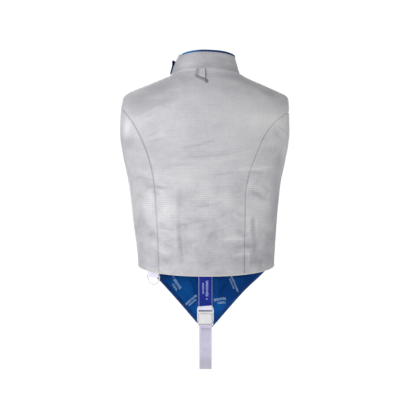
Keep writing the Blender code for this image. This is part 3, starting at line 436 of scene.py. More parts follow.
# Patches of painted light (above 0) and painted shade (below 0) on the cloth: x z half_x half_z slope amount.
TONES = {
    "back": (
        (126, -296, 14, 31, 0, 0.9), (82, -307, 18, 23, 0, 0.9), (174, -110, 10, 20, 0, 1),
        (-62, -366, 22, 5, 4, 1), (-121, -298, 17, 18, 0, 0.6), (-110, -102, 15, 18, 0, 0.45),
        (-121, -208, 33, 4, 1, 0.6), (-47, -186, 26, 4, 12, 0.5), (90, -350, 18, 4, -8, 0.5),
        (82, -402, 22, 9, 0, 0.4), (115, -383, 12, 7, 0, 0.5), (-47, -287, 22, 14, 0, 0.35),
        (5, -195, 18, 6, 0, 0.3), (49, -232, 14, 22, 0, 0.25), (-99, -243, 6, 14, -40, 0.6),
        (149, -335, 16, 22, 0, -0.4), (121, -361, 14, 9, 0, -0.9), (171, -150, 14, 14, 0, -0.6),
        (123, -246, 16, 8, 0, -0.75), (97, -252, 12, 4, -4, -0.75), (145, -235, 18, 12, 0, -0.5),
        (152, -280, 12, 15, 0, -0.3), (-158, -304, 12, 110, 0, -0.9), (-97, -417, 3.5, 20, 0, 0.6),
        (-107, -414, 3, 18, 0, 0.4), (-102, -414, 2.6, 18, 0, -0.3), (-134, -412, 18, 30, 0, -0.35),
        (152, -424, 16, 14, 0, -0.3), (-167, -198, 8, 22, 0, -0.8), (-80, -38, 34, 14, -22, -0.4),
        (-143, -42, 24, 11, -24, -0.7), (125, -125, 26, 20, 0, -0.45), (154, -304, 8, 24, 0, 0.3),
        (48, -388, 44, 16, 0, -0.3), (-142, -385, 10, 30, 0, -0.5), (-168, -115, 14, 22, 0, 0.35),
        (-90, -17, 26, 8, -22, -0.6), (-176, -65, 9, 9, 0, -0.5), (163, -54, 18, 10, 0, -0.4),
        (104, -34, 46, 15, 22, -0.95), (146, -62, 24, 15, 24, -0.6), (0, -24, 60, 13, 0, -0.3),
        (-30, -4, 60, 9, 0, -0.5), (-62, -6, 20, 9, 0, -0.35), (34, -14, 26, 10, 0, -0.25),
        (110, -64, 62, 13, 22, -0.38), (104, -164, 44, 34, 0, -0.3), (150, -160, 22, 12, 0, -0.25),
        (-112, -28, 60, 10, -24, -0.5), (-150, -104, 34, 20, 0, 1.4), (112, -190, 40, 26, 0, -0.2),
        (-30, -414, 44, 12, 0, -0.3), (92, -410, 24, 14, 0, -0.3), (45, -354, 12, 12, 0, -0.3),
        (58, -402, 22, 12, 0, -0.3), (110, -262, 24, 10, 0, -0.2), (-150, -152, 14, 12, 0, 0.4),
        (160, -178, 10, 14, 0, -0.2), (-112, -424, 20, 8, 0, -0.4), (96, -62, 62, 10, 18, -0.3),
        (170, -72, 16, 12, 0, -0.4), (108, -206, 30, 12, 0, -0.3), (178, -126, 8, 14, 0, 0.8),
        (-70, -92, 60, 20, 0, 0.4), (-104, -416, 40, 12, 0, -0.75), (86, -416, 28, 12, 0, -0.6),
        (122, -172, 44, 22, 0, -0.33), (128, -264, 20, 32, 0, -0.22), (130, -340, 22, 26, 0, -0.2),
        (140, -86, 34, 9, 10, -0.3), (0, -424, 60, 8, 0, -0.25), (19, -176, 22, 9, 4, -0.3),
        (64, -180, 22, 10, 0, -0.2), (-10, -354, 20, 16, 0, -0.4), (-18, -368, 14, 14, 0, -0.4),
        (-88, -383, 22, 6, 0, -1), (-110, -380, 5, 20, 0, -0.7), (-106, -339, 6, 26, 0, -0.5),
        (-69, -394, 10, 5, 0, -0.6), (-77, -354, 12, 6, -20, -0.6), (-121, -272, 22, 7, -25, -0.4),
        (-99, -265, 8, 6, 0, -0.45), (-69, -309, 14, 3, -35, -0.5), (53, -280, 4, 30, 0, -0.3),
        (56, -368, 4.5, 46, 2, -0.22), (49, -335, 12, 3, 0, -0.5), (5, -285, 9, 7, 0, -0.5),
        (12, -326, 22, 4, 8, -0.35), (45, -12, 16, 12, 0, -0.35), (-132, -143, 10, 8, 0, -0.4),
        (-158, -128, 9, 5, -30, -0.5), (-143, -170, 18, 10, 0, -0.35),
    ),
    "front": (
        (-82, -300, 20, 26, 0, 0.8), (112, -296, 16, 30, 0, 0.7), (-30, -366, 24, 5, 6, 0.7),
        (-118, -262, 20, 8, 24, -0.8), (126, -252, 20, 8, -24, -0.9), (-66, -292, 4, 34, 4, -0.6),
        (100, -340, 16, 12, 0, -0.6), (-20, -352, 26, 6, 8, -0.5), (20, -188, 30, 7, 4, -0.35),
        (-60, -440, 40, 6, 0, 0.5), (20, -500, 26, 20, 0, 0.4),
    ),
    "lining": (
        (52, -512, 26, 26, 0, 0.8), (80, -486, 20, 8, -40, 0.6), (60, -532, 26, 4, -50, -0.7),
        (96, -478, 26, 4, -38, -0.6), (24, -486, 7, 30, 0, -0.4), (-60, -486, 40, 30, 0, -0.25),
        (-34, -548, 12, 26, 40, 0.4), (-26, -500, 6, 30, 0, 0.5), (-96, -470, 26, 5, 30, -0.6),
        (20, -560, 14, 14, 0, 0.5), (0, -476, 170, 8, 0, -0.9),
    ),
    "collar": (
        (40, 38, 20, 14, 0, 0.3), (52, 18, 16, 10, 0, 0.3), (-34, 44, 16, 8, -16, 0.4),
        (-40, 32, 26, 5, -12, -0.7), (-4, 22, 24, 7, 0, -0.4), (-38, 20, 20, 6, -14, -0.5),
        (-53, 32, 9, 8, 0, 0.4), (-12, 49, 70, 4, 0, -0.55), (-10, 9, 70, 7, 0, -0.5),
        (-60, 9, 20, 8, 0, -0.35), (-46, 25, 20, 5, 0, 0.3),
    ),
}


def turned(x, z, place_x, place_z, slope):
    """How far x, z lie along and across a line through the place, which rises towards the wearer's right."""
    turn = math.radians(slope)
    right, up = place_x - x, z - place_z
    return right * math.cos(turn) + up * math.sin(turn), up * math.cos(turn) - right * math.sin(turn)


def creases_at(name, x, z):
    """For each crease its height and half width, how far x, z lie across it and how it fades to its ends."""
    for place_x, place_z, half, slope, width, height, bend in CREASES[name]:
        along, across = turned(x, z, place_x, place_z, slope)
        along = along / half
        yield height, width, across - bend * along**2, np.clip(1 - along**2, 0, 1)


def crease_field(name, x, z):
    """How far the creases and swells of this name lift the surface at x, z."""
    total = np.zeros(x.shape)
    for height, width, across, fade in creases_at(name, x, z):
        total += height * fade**1.5 * bell(across, width)
    for place_x, place_z, half_x, half_z, height in SWELLS.get(name, ()):
        total += height * bell(x - place_x, half_x) * bell(z - place_z, half_z)
    return total


def tone_field(name, x, z):
    """Painted light and shade at x, z, from -1 to 1: creases are painted darker and ridges lighter, and the
    listed patches lighter or darker.
    """
    total = np.zeros(x.shape)
    for height, width, across, fade in creases_at(name, x, z):
        # painted shade in the creases and painted light on the ridges
        total += 0.42 * np.clip(height, -1, 0.8) * fade * bell(across, 0.6 * width)
    for place_x, place_z, half_x, half_z, slope, amount in TONES[name]:
        along, across = turned(x, z, place_x, place_z, slope)
        total += 0.72 * amount * bell(along, half_x) * bell(across, half_z)
    # painted shade: the back darker towards its bottom
    if name == "back":
        total -= 0.26 * np.clip((-300 - z) / 100, 0, 1)
    # painted shade: the whole collar darker, most towards the wearer's left
    if name == "collar":
        total -= 0.5 + 0.12 * np.clip(x / 40, -1, 1)
    return np.clip(total, -1, 1)


def mottle(points):
    """Faint random patches, and thin wrinkles painted darker as painted shade, both stronger low on the body.
    """
    low = 0.55 + 0.45 * np.clip((-200 - points[..., 2]) / 60, 0, 1)
    patches = 0.5 * crumple(points, 26.0, 21) + 0.3 * crumple(points, 12.0, 22)
    drawn = points * (1, 1, 2.4)
    wrinkles = bell(crumple(drawn, 34.0, 23), 0.07) + 0.7 * bell(crumple(drawn, 19.0, 24), 0.09)
    spread = np.sign(patches) * np.abs(patches) ** 0.5
    return low * (0.5 * patches - 0.2 * wrinkles) + 0.12 * (low - 0.55) * spread


def relief(points, name):
    """Creases, and the slight crumpling that metallic cloth has between them."""
    lift = crease_field(name, points[..., 0], points[..., 2])
    lift += 0.38 * crumple(points, 34.0, 1) + 0.22 * crumple(points, 15.0, 2)
    return lift + 0.25 * (0.5 - np.abs(crumple(points, 24.0, 3)))


# ---------------------------------------------------------------- meshes
def linked(name, data):
    """A new object in the scene with this data."""
    obj = bpy.data.objects.new(name, data)
    bpy.context.scene.collection.objects.link(obj)
    return obj


def piece_from(name, vertices, faces, finishes, slot="", node="", uv=None, picks=None, tone=None):
    """A piece that rides on the garment in place of its CAD node; its slot is not used."""
    mesh = bpy.data.meshes.new(name)
    mesh.from_pydata((np.asarray(vertices) * MM).tolist(), [], faces)
    for finish in finishes:
        mesh.materials.append(finish)
    if picks is not None:
        mesh.polygons.foreach_set("material_index", picks)
    mesh.polygons.foreach_set("use_smooth", np.ones(len(mesh.polygons), bool))
    if uv is not None:
        layer = mesh.uv_layers.new(name="UVMap")
        corners = np.empty(len(mesh.loops), np.int32)
        mesh.loops.foreach_get("vertex_index", corners)
        layer.data.foreach_set("uv", (np.asarray(uv)[corners] * MM).astype(np.float32).ravel())
    if tone is not None:
        mesh.attributes.new("tone", "FLOAT", "POINT").data.foreach_set("value", tone.astype(np.float32))
    mesh.validate()
    mesh.update()
    obj = linked(name, mesh)
    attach(obj, "garment")
    if node:
        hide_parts(node)
    return obj


def grid_uv(points):
    """Distances along the cloth: across from the middle column, and down each column from its hem."""
    u, v = running(points, 1), running(points)
    middle = points.shape[1] // 2
    u = u - u[:, middle : middle + 1] + points[:, middle : middle + 1, 0]
    return np.stack((u, points[-1:, :, 2] + v[-1:] - v), axis=-1)


CUT_AREAS = {}


def rim_of(quads, count):
    """The edges that only one face of a grid has."""
    edges = np.concatenate([quads[:, [k, (k + 1) % 4]] for k in range(4)]).astype(np.int64)
    return edges[~np.isin(edges[:, 0] * count + edges[:, 1], edges[:, 1] * count + edges[:, 0])]


def shell(name, outer, inner, finish, slot="silver_cloth", node="", holds=None, uv=None, inside=None,
          tone=None):
    """A thin closed sheet between two layers of one grid, with rounded edges."""
    rows, columns = outer.shape[0] - 1, outer.shape[1] - 1
    i, j = np.nonzero(np.ones((rows, columns), bool) if holds is None else holds)
    corner, stride = i * (columns + 1) + j, columns + 1
    quads = np.stack((corner, corner + 1, corner + 1 + stride, corner + stride), 1)
    uv = np.tile((grid_uv(outer) if uv is None else uv).reshape(-1, 2), (3, 1))
    outer, inner = outer.reshape(-1, 3), inner.reshape(-1, 3)
    count = len(outer)
    total, times = np.zeros((count, 3)), np.zeros(count)
    centres = outer[quads].mean(axis=1)
    for k in range(4):
        np.add.at(total, quads[:, k], centres)
        np.add.at(times, quads[:, k], 1)
    ways = outer - total / np.maximum(times, 1)[:, None]
    through = unit(outer - inner)
    ways = unit(ways - (ways * through).sum(axis=1, keepdims=True) * through)
    thickness = np.linalg.norm(outer - inner, axis=1, keepdims=True)
    rounded = (outer + inner) / 2 + ways * thickness * 0.45
    rim = rim_of(quads, count)
    used = np.nonzero(times)[0]
    keep = np.concatenate((used, used + count, np.unique(rim) + 2 * count))
    new = np.full(3 * count, -1)
    new[keep] = np.arange(len(keep))
    a, b = rim[:, 0], rim[:, 1]
    faces = np.concatenate((
        quads,
        quads[:, ::-1] + count,
        np.stack((b, a, a + 2 * count, b + 2 * count), 1),
        np.stack((b + 2 * count, a + 2 * count, a + count, b + count), 1),
    ))
    picks = None
    if inside is not None:
        picks = np.zeros(len(faces), np.int32)
        picks[len(quads) : 2 * len(quads)] = 1
    if tone is not None:
        tone = np.tile(tone.ravel(), 3)[keep]
    points = np.concatenate((outer, inner, rounded))[keep]
    finishes = [finish] if inside is None else [finish, inside]
    piece = piece_from(name, points, new[faces].tolist(), finishes, slot, node, uv[keep], picks, tone)
    cut_out = outer[quads]
    sides = np.cross(cut_out[:, 2] - cut_out[:, 0], cut_out[:, 3] - cut_out[:, 1])
    CUT_AREAS[name] = np.linalg.norm(sides, axis=1).sum() / 2 * MM * MM
    return piece


def face_out(piece):
    """Turns the faces of a closed piece outwards."""
    bm = bmesh.new()
    bm.from_mesh(piece.data)
    bmesh.ops.recalc_face_normals(bm, faces=bm.faces)
    bm.to_mesh(piece.data)
    bm.free()
    return piece


def sweep(name, rings, finish, slot, node="", uv=None):
    """A solid through rings of the same number of points, given as an array of rings."""
    count, size = rings.shape[:2]
    faces = []
    for here in range(0, (count - 1) * size, size):
        for k in range(size):
            n = (k + 1) % size
            faces.append((here + k, here + n, here + size + n, here + size + k))
    faces.append(tuple(range(size))[::-1])
    faces.append(tuple(range((count - 1) * size, count * size)))
    if uv is None:
        uv = np.stack(np.broadcast_arrays(running(rings[0])[None, :], running(rings[:, 0])[:, None]), axis=-1)
    return face_out(piece_from(name, rings.reshape(-1, 3), faces, [finish], slot, node, uv.reshape(-1, 2)))


def tube(name, count, line_at, finish, slot, node=""):
    """A solid whose lines along it are given for each of count turns round it."""
    turns = np.linspace(0, 2 * math.pi, count, endpoint=False)
    return sweep(name, np.stack([line_at(turn) for turn in turns], axis=1), finish, slot, node)


# ---------------------------------------------------------------- materials
def linear(red, green, blue):
    """A colour given as display values from 0 to 255, as the shader takes it."""
    values = (value / 255 for value in (red, green, blue))
    return (*(v / 12.92 if v <= 0.04045 else ((v + 0.055) / 1.055) ** 2.4 for v in values), 1.0)


def feed(tree, socket, value):
    """Gives a socket a wire, a number, or a colour in display values."""
    if isinstance(value, Wire):
        tree.links.new(value.socket, socket)
    else:
        socket.default_value = linear(*value) if isinstance(value, tuple) else value


def add_node(tree, kind, output=0, settings=(), **inputs):
    """Adds a node, its inputs given by name, and gives the wire from one of its outputs."""
    made = tree.nodes.new(kind)
    for key, value in dict(settings).items():
        setattr(made, key, value)
    for key, value in inputs.items():
        feed(tree, made.inputs[key.replace("_", " ")], value)
    return Wire(tree, made.outputs[output])


class Wire:
    """A value in a node tree, which the usual signs combine with other values and with numbers."""

    def __init__(self, tree, socket):
        self.tree, self.socket = tree, socket

    def math(self, operation, *others):
        made = self.tree.nodes.new("ShaderNodeMath")
        made.operation = operation
        for socket, value in zip(made.inputs, (self, *others)):
            feed(self.tree, socket, value)
        return Wire(self.tree, made.outputs[0])

    def __add__(self, other):
        return self.math("ADD", other)

    def __sub__(self, other):
        return self.math("SUBTRACT", other)

    def __mul__(self, other):
        return self.math("MULTIPLY", other)

    def __truediv__(self, other):
        return self.math("DIVIDE", other)

    def __lt__(self, other):
        return self.math("LESS_THAN", other)

    def __gt__(self, other):
        return self.math("GREATER_THAN", other)

    def __or__(self, other):
        """The higher of the two."""
        return self.math("MAXIMUM", other)

    def __abs__(self):
        return self.math("ABSOLUTE")

    def xyz(self):
        made = self.tree.nodes.new("ShaderNodeSeparateXYZ")
        feed(self.tree, made.inputs[0], self)
        return [Wire(self.tree, output) for output in made.outputs]

    def band(self, low, high, kind="SMOOTHSTEP"):
        """0 at low, 1 at high, and held beyond them."""
        settings = {"interpolation_type": kind, "clamp": True}
        return add_node(self.tree, "ShaderNodeMapRange", 0, settings, Value=self, From_Min=low, From_Max=high)

    def off_middle(self, period):
        """How far this is from the middle of its period, as a share of it."""
        return abs((self / period).math("FRACT") - 0.5)

    def threads(self, period, share):
        """Soft lines across a direction: 1 in the middle of each and 0 between them."""
        return self.off_middle(period).band(share / 2, 0.0)


class Finish:
    """A Principled material and the nodes that feed it; u and v are distances across and along the cloth."""

    def __init__(self, name, roughness=0.6, metallic=0.0, **settings):
        self.material = bpy.data.materials.new(name)
        self.material.use_nodes = True
        self.tree = self.material.node_tree
        self.shader = self.tree.nodes["Principled BSDF"]
        for socket, value in {"Roughness": roughness, "Metallic": metallic, **settings}.items():
            self.shader.inputs[socket.replace("_", " ")].default_value = value
        self.here = add_node(self.tree, "ShaderNodeTexCoord", "Object")
        self.on_cloth = add_node(self.tree, "ShaderNodeTexCoord", "UV")
        self.u, self.v, _ = self.on_cloth.xyz()

    def noise(self, scale, detail=2.0, roughness=0.5, place=None):
        """Cloudy noise between 0 and 1, by default over the object's own coordinates."""
        inputs = {"Vector": place or self.here, "Scale": scale, "Detail": detail, "Roughness": roughness}
        return add_node(self.tree, "ShaderNodeTexNoise", **inputs)

    def mix(self, share, first, second):
        """The first colour, with this share of the second."""
        made = self.tree.nodes.new("ShaderNodeMix")
        made.data_type = "RGBA"
        for index, value in ((0, share), (6, first), (7, second)):
            feed(self.tree, made.inputs[index], value)
        return Wire(self.tree, made.outputs[2])

    def patchy(self, patches, dark, light, low=0.3, high=0.7):
        """Dark where the patches are under low, and light where they are over high."""
        return self.mix(patches.band(low, high), dark, light)

    def toned(self, cloth, painted_light, painted_shade, share):
        """The cloth, mixed towards the painted light colour where the tone that its points hold is above 0
        and towards the painted shade colour below 0.
        """
        tone = add_node(self.tree, "ShaderNodeAttribute", "Fac", {"attribute_name": "tone"})
        cloth = self.mix(tone.band(0.0, 1.0, "LINEAR") * share, cloth, painted_light)
        return self.mix(tone.band(0.0, -1.0, "LINEAR") * share, cloth, painted_shade)

    def colour(self, value):
        feed(self.tree, self.shader.inputs["Base Color"], value)

    def rough(self, share, low, high):
        found = add_node(self.tree, "ShaderNodeMapRange", Value=share, To_Min=low, To_Max=high)
        feed(self.tree, self.shader.inputs["Roughness"], found)

    def bump(self, *heights):
        """Bumps laid one over the other, each a height and how far it reaches in metres."""
        below = {}
        for height, distance in heights:
            inputs = {"Strength": 1.0, "Distance": distance, "Height": height, **below}
            normal = add_node(self.tree, "ShaderNodeBump", **inputs)
            below = {"Normal": normal}
        feed(self.tree, self.shader.inputs["Normal"], normal)


def silver_cloth(name, light, dark, line, painted_light, painted_shade):
    """Woven metallic cloth with a ribbed check, its sheen patchy from wear, and painted shade in its creases
    and painted light on its ridges from the tone of its points.
    """
    made = Finish(name, metallic=0.3, Specular_IOR_Level=0.35)
    patches = made.noise(11.0, 4.0, 0.62)
    worn = made.noise(23.0, 3.0, 0.6).band(0.3, 0.75)
    check = made.v.threads(CHECK, 0.55) | made.u.threads(CHECK, 0.55) * 0.75
    fine = made.v.threads(CHECK / 5, 0.9) + made.u.threads(CHECK / 5, 0.9)
    cloth = made.toned(made.patchy(patches, dark, light, 0.32, 0.68), painted_light, painted_shade, 0.85)
    made.colour(made.mix(check * (worn * 0.30 + 0.20), cloth, line))
    made.rough(patches, 0.42, 0.6)
    made.bump((made.noise(150.0, 3.0, 0.6), 0.0006), (check, -0.0001), (fine, 0.00005))
    return made.material


def motif(u, v, cell, origin, turns, gem, bars, slant):
    """A generic print: in each cell a small diamond and two bars of slanting dashes.

    Every other row is turned by the second of the turns as well, and is then also moved on by half a cell."""
    across, down = (u - origin[0]) * (1 / cell[0]) + 0.5, (v - origin[1]) * (1 / cell[1]) + 0.5
    odd = (down.math("FLOOR") * 0.5).math("FRACT") * 2.0
    if turns[1]:
        across = across + odd * 0.5
    x, y = [(place.math("FRACT") - 0.5) * size for place, size in zip((across, down), cell)]
    turn = odd * turns[1] + turns[0]
    cos, sin = turn.math("COSINE"), turn.math("SINE")
    along, off = x * cos + y * sin, y * cos - x * sin
    dash = (off * slant + along) / 0.003
    start, place, size = gem
    total = abs(along - start) + abs(off - place) < size
    for start, length, place, height in bars:
        joined = add_node(u.tree, "ShaderNodeCombineXYZ", X=dash.math("FLOOR"), Y=place * 1000)
        chance = add_node(u.tree, "ShaderNodeTexWhiteNoise", "Value", Vector=joined)
        middle = abs(off - place)
        hollow = (middle < height * 0.22) * (chance > 0.55)
        bar = abs(dash.math("FRACT") - 0.5) < chance * 0.16 + 0.24
        bar = bar * (middle < chance * (height * 0.3) + height * 0.7) * (hollow < 0.5)
        total = total | bar * (abs(along - (start + length / 2)) < length / 2)
    return total


def printed_cloth(name, base, deep, painted_light, shade, mark, print_of, edge=None):
    """Smooth lining or label cloth with a generic print, painted light and shade from the tone of its points,
    and a lighter selvedge where it has one.
    """
    made = Finish(name, 0.5, Specular_IOR_Level=0.06)
    worn = made.noise(900.0, place=made.on_cloth).band(0.25, 0.6)
    mask = motif(made.u, made.v, **print_of) * (worn * 0.35 + 0.65)
    cloth = made.toned(made.patchy(made.noise(14.0, 3.0), deep, base), painted_light, shade, 0.8)
    weave = made.u.threads(0.0009, 0.8) | made.v.threads(0.0009, 0.8)
    cloth = made.mix(weave * 0.3, cloth, deep)
    if edge:
        half_width, pale = edge
        cloth = made.mix(abs(made.u).band(half_width - 0.0011, half_width - 0.0006) * 0.8, cloth, pale)
    made.colour(made.mix(mask * 0.85, cloth, mark))
    made.bump((made.noise(120.0, 3.0, 0.6), 0.0005), (weave, 0.00005), (mask, 0.00006))
    return made.material


def plain_cloth(name, light, dark, period, bump=0.0001, roughness=0.7, left=None):
    """Plain woven or ribbed cloth, slightly uneven in colour, and where a left colour is given, turning to it
    towards the wearer's left as painted light.
    """
    made = Finish(name, roughness, Specular_IOR_Level=0.15)
    weave = made.v.threads(period, 0.85) | made.u.threads(period, 0.85) * 0.6
    cloth = made.patchy(made.noise(35.0, 3.0, 0.6), dark, light)
    if left:
        # painted light: the cloth turns to the left colour towards the wearer's left
        cloth = made.mix(made.here.xyz()[0].band(0.004, 0.034), cloth, left)
    made.colour(made.mix(weave * 0.18, cloth, dark))
    made.bump((made.noise(260.0), 0.0003), (weave, bump))
    return made.material


def webbing(name, light, dark, selvedge, width, under=None):
    """Flat webbing: close ribs in a zigzag, brighter selvedges, and painted shade where it turns under, if an
    under colour is given.
    """
    made = Finish(name, 0.62, Sheen_Weight=0.2, Sheen_Roughness=0.4)
    ribs = (made.u.off_middle(0.0047) * 0.0016 + made.v).threads(0.0011, 0.9)
    weave = ribs | made.u.threads(0.00078, 0.9) * 0.5
    side, half = abs(made.u), width * MM / 2
    line = side.band(half - 0.0026, half - 0.0020) * side.band(half - 0.0012, half - 0.0018)
    cloth = made.mix(weave * 0.3, made.patchy(made.noise(30.0, 3.0, 0.6), dark, light), dark)
    cloth = made.mix(line * 0.7, cloth, selvedge)
    # painted shade: darker at the bottom of the strap's hanging curve
    if under:
        cloth = made.mix(made.here.xyz()[2].band(-0.632, -0.665), cloth, under)
    made.colour(cloth)
    made.bump((weave, 0.00012), (made.noise(400.0), 0.0001))
    return made.material


def steel(name, plated, smudged):
    """Bright plated steel with fine scratches."""
    made = Finish(name, metallic=0.5)
    smudges = made.noise(300.0, 4.0, 0.65)
    made.colour(made.patchy(smudges, plated, smudged, 0.35, 0.75))
    made.rough(smudges, 0.34, 0.5)
    made.bump((made.noise(1800.0), 0.00002))
    return made.material


def plastic(name, light, dark, grain):
    """Moulded plastic with a fine spark-eroded grain."""
    made = Finish(name, Coat_Weight=0.15, Coat_Roughness=0.3)
    patches = made.noise(90.0, 3.0)
    made.colour(made.patchy(patches, dark, light))
    made.rough(patches, 0.28, 0.42)
    made.bump((made.noise(2600.0), grain))
    return made.material


# Its last two colours are the painted light and the painted shade that the tone of the points mixes in.
SILVER = silver_cloth(
    "silver_cloth", (214, 213, 217), (204, 203, 208), (158, 157, 165), (236, 235, 236), (164, 163, 170)
)
SILVER_INSIDE = plain_cloth("silver_cloth_inside", (158, 156, 162), (140, 138, 146), 0.0010)
# A darker grey used as painted shade inside the nape loop.
SHADED = plain_cloth("loop_inside", (156, 155, 159), (144, 143, 148), 0.0010)
BLUE_PRINT = {
    "cell": (0.070, 0.052),
    "origin": (0.075, -0.480),
    "turns": (-1.05, 1.45),
    "gem": (-0.0200, 0.0050, 0.0024),
    "bars": ((-0.0150, 0.0330, 0.0034, 0.0034), (-0.0090, 0.0210, -0.0042, 0.0022)),
    "slant": 0.45,
}
# The lining's third and fourth colours are the painted light and the painted shade that the tone of its
# points mixes in.
BLUE = printed_cloth(
    "blue_lining", (14, 94, 175), (4, 64, 136), (27, 115, 196), (0, 22, 80), (176, 208, 236), BLUE_PRINT
)
BLUE_PLAIN = plain_cloth("blue_lining_plain", (30, 92, 158), (12, 62, 122), 0.0009, 0.00006, 0.45)
# The rim's lighter blue towards the wearer's left is painted light.
RIM_BLUE = plain_cloth("rim_blue", (18, 66, 122), (10, 42, 94), 0.0009, 0.00006, 0.4, left=(30, 118, 178))
NAVY = plain_cloth("navy_band", (18, 76, 146), (9, 56, 118), 0.0007, 0.00008, 0.5)
DEEP_NAVY = plain_cloth("navy_inside", (14, 30, 84), (6, 20, 66), 0.0007, 0.00008, 0.5)
CREAM = plain_cloth("cream_binding", (216, 212, 209), (204, 201, 200), 0.0011, 0.00014, 0.75)
TAPE = plain_cloth("zip_tape", (172, 172, 176), (150, 150, 156), 0.0009, 0.00012)
# The dark thread is also the painted shade of the nape loop's slit.
THREAD_GREY, DARK_THREAD_AND_SHADE, THREAD_BLUE, THREAD_MAUVE = [
    plain_cloth(name, light, dark, 0.0004, 0.00008, 0.6)
    for name, light, dark in (
        ("thread_grey", (172, 170, 176), (148, 146, 154)),
        ("dark_thread_and_shade", (132, 132, 138), (112, 112, 118)),
        ("thread_blue", (58, 96, 160), (40, 76, 140)),
        ("thread_mauve", (150, 146, 164), (134, 130, 150)),
    )
]
TEETH = plastic("zip_teeth", (196, 196, 200), (176, 176, 182), 0.00001)
STEEL = steel("steel", (234, 234, 234), (212, 212, 214))
WHITE_WEBBING = webbing("white_webbing", (234, 230, 246), (216, 210, 232), (246, 244, 252), 30.0)
# The under colour is painted shade where the strap turns under at its lowest.
PLAIN_WEBBING = webbing(
    "plain_webbing", (214, 210, 230), (193, 189, 212), (230, 228, 241), PLAIN_WIDTH, under=(182, 178, 198)
)
TAB_WEBBING = webbing("tab_webbing", (236, 232, 246), (222, 217, 236), (246, 244, 252), TAB_WIDTH)
LABEL_PRINT = {
    "cell": (0.060, 0.066),
    "origin": (0.0, 0.060),
    "turns": (1.5708, 0.0),
    "gem": (0.0240, 0.0030, 0.0022),
    "bars": ((-0.0230, 0.0400, 0.0036, 0.0030), (-0.0170, 0.0270, -0.0052, 0.0020)),
    "slant": 0.40,
}
LABEL = printed_cloth(
    "printed_label", (34, 50, 146), (22, 38, 126), (44, 62, 156), (22, 36, 118), (178, 190, 232), LABEL_PRINT,
    edge=(LABEL_WIDTH * MM / 2, (96, 116, 186)),
)
PLASTIC = plastic("white_plastic", (227, 227, 229), (219, 219, 221), 0.00002)


# ---------------------------------------------------------------- the cloth panels
def row_distance(points, row):
    """How far each point of a grid is from its first or last row, along its own column."""
    found = running(points)
    return found if row == 0 else found[-1:] - found


def edge_distance(points, column):
    """How far each point of a grid is from the edge at this column, measured square to it."""
    across = running(points, 1)
    found = across if column == 0 else across[:, -1:] - across
    edge_way = unit(np.gradient(points[:, column], axis=0))
    row_way = unit(points[:, 1 if column == 0 else -2] - points[:, column])
    slant = np.linalg.norm(np.cross(edge_way, row_way), axis=1)
    return found * np.maximum(slant, 0.25)[:, None]


def neck_fill(distance, angles):
    """How far the corner at the collar's foot is filled out: more at the back than at the sides."""
    facing = 0.15 + 0.85 * np.clip(np.cos(angles), 0, 1) ** 2
    return NECK_FILL * facing * bell(distance, NECK_REACH)


class Panel:
    """A grid on a ringed surface, with what lifts it off that surface."""

    def __init__(self, table, levels, angles, name):
        self.levels = levels
        self.angles = np.broadcast_to(angles, (len(levels), angles.shape[-1]))
        self.points = ring_points(table, levels[:, None], self.angles)
        self.outward = ring_outward(table, levels[:, None], self.angles)
        self.lift = relief(self.points, name)
        # the tone: painted light and shade, with faint random patches
        self.tone = tone_field(name, self.points[..., 0], self.points[..., 2]) + mottle(self.points)
        self.uv = grid_uv(self.points)

    def seam(self, column, share=1.0, dark=0.6):
        """Draws the cloth in along a seam at this edge, calms the creases beside it and shades it."""
        distance = edge_distance(self.points, column)
        self.lift = self.lift * (1 - 0.6 * share * bell(distance, SEAM_CALM))
        pucker = 0.16 * crumple(self.points, 9.0, 9) * bell(distance, PUCKER_REACH)
        self.lift = self.lift + share * (pucker - bell(distance, SEAM_WIDTH))
        self.tone = np.clip(self.tone - dark * share * bell(distance, 1.0), -1, 1)

    def turned_edge(self, column, share):
        """Doubles the cloth beside a hemmed edge."""
        distance = edge_distance(self.points, column)
        step = np.clip((HEM_TURN - distance) / 1.2 + 0.5, 0, 1)
        self.lift = self.lift + share * (0.32 * step - 0.25 * bell(distance - HEM_TURN, 0.9))

    def neck(self):
        """Eases the corner where the collar rises out of the panels, at the first row."""
        distance, angles = row_distance(self.points, 0), self.angles[0]
        below = ring_outward(TORSO, np.full_like(angles, -0.6), angles)
        above = ring_outward(COLLAR, np.full_like(angles, 0.6), angles)
        self.points = self.points + unit(below + above) * neck_fill(distance, self.angles)[..., None]
        self.lift = self.lift * (1 - 0.85 * bell(distance, 4.0)) - 0.22 * bell(distance, 1.2)

    def across_from(self, column):
        """How far each point is from its row's point in this column."""
        return np.linalg.norm(self.points - self.points[:, [column]], axis=2)

    def cells(self):
        """The row and the column of each face of the grid."""
        return np.indices((self.points.shape[0] - 1, self.points.shape[1] - 1))

    def layer(self, out):
        """The grid's points, lifted off the surface and this much farther out."""
        return self.points + self.outward * (self.lift + out)[..., None]

    def cloth(self, node, shift=(0, 0), holds=None):
        """The node's metallic cloth, its check moved on by this shift."""
        return shell(node + "_cloth", self.layer(0), self.layer(-CLOTH), SILVER, node=node, holds=holds,
                     uv=self.uv + shift, inside=SILVER_INSIDE, tone=self.tone)


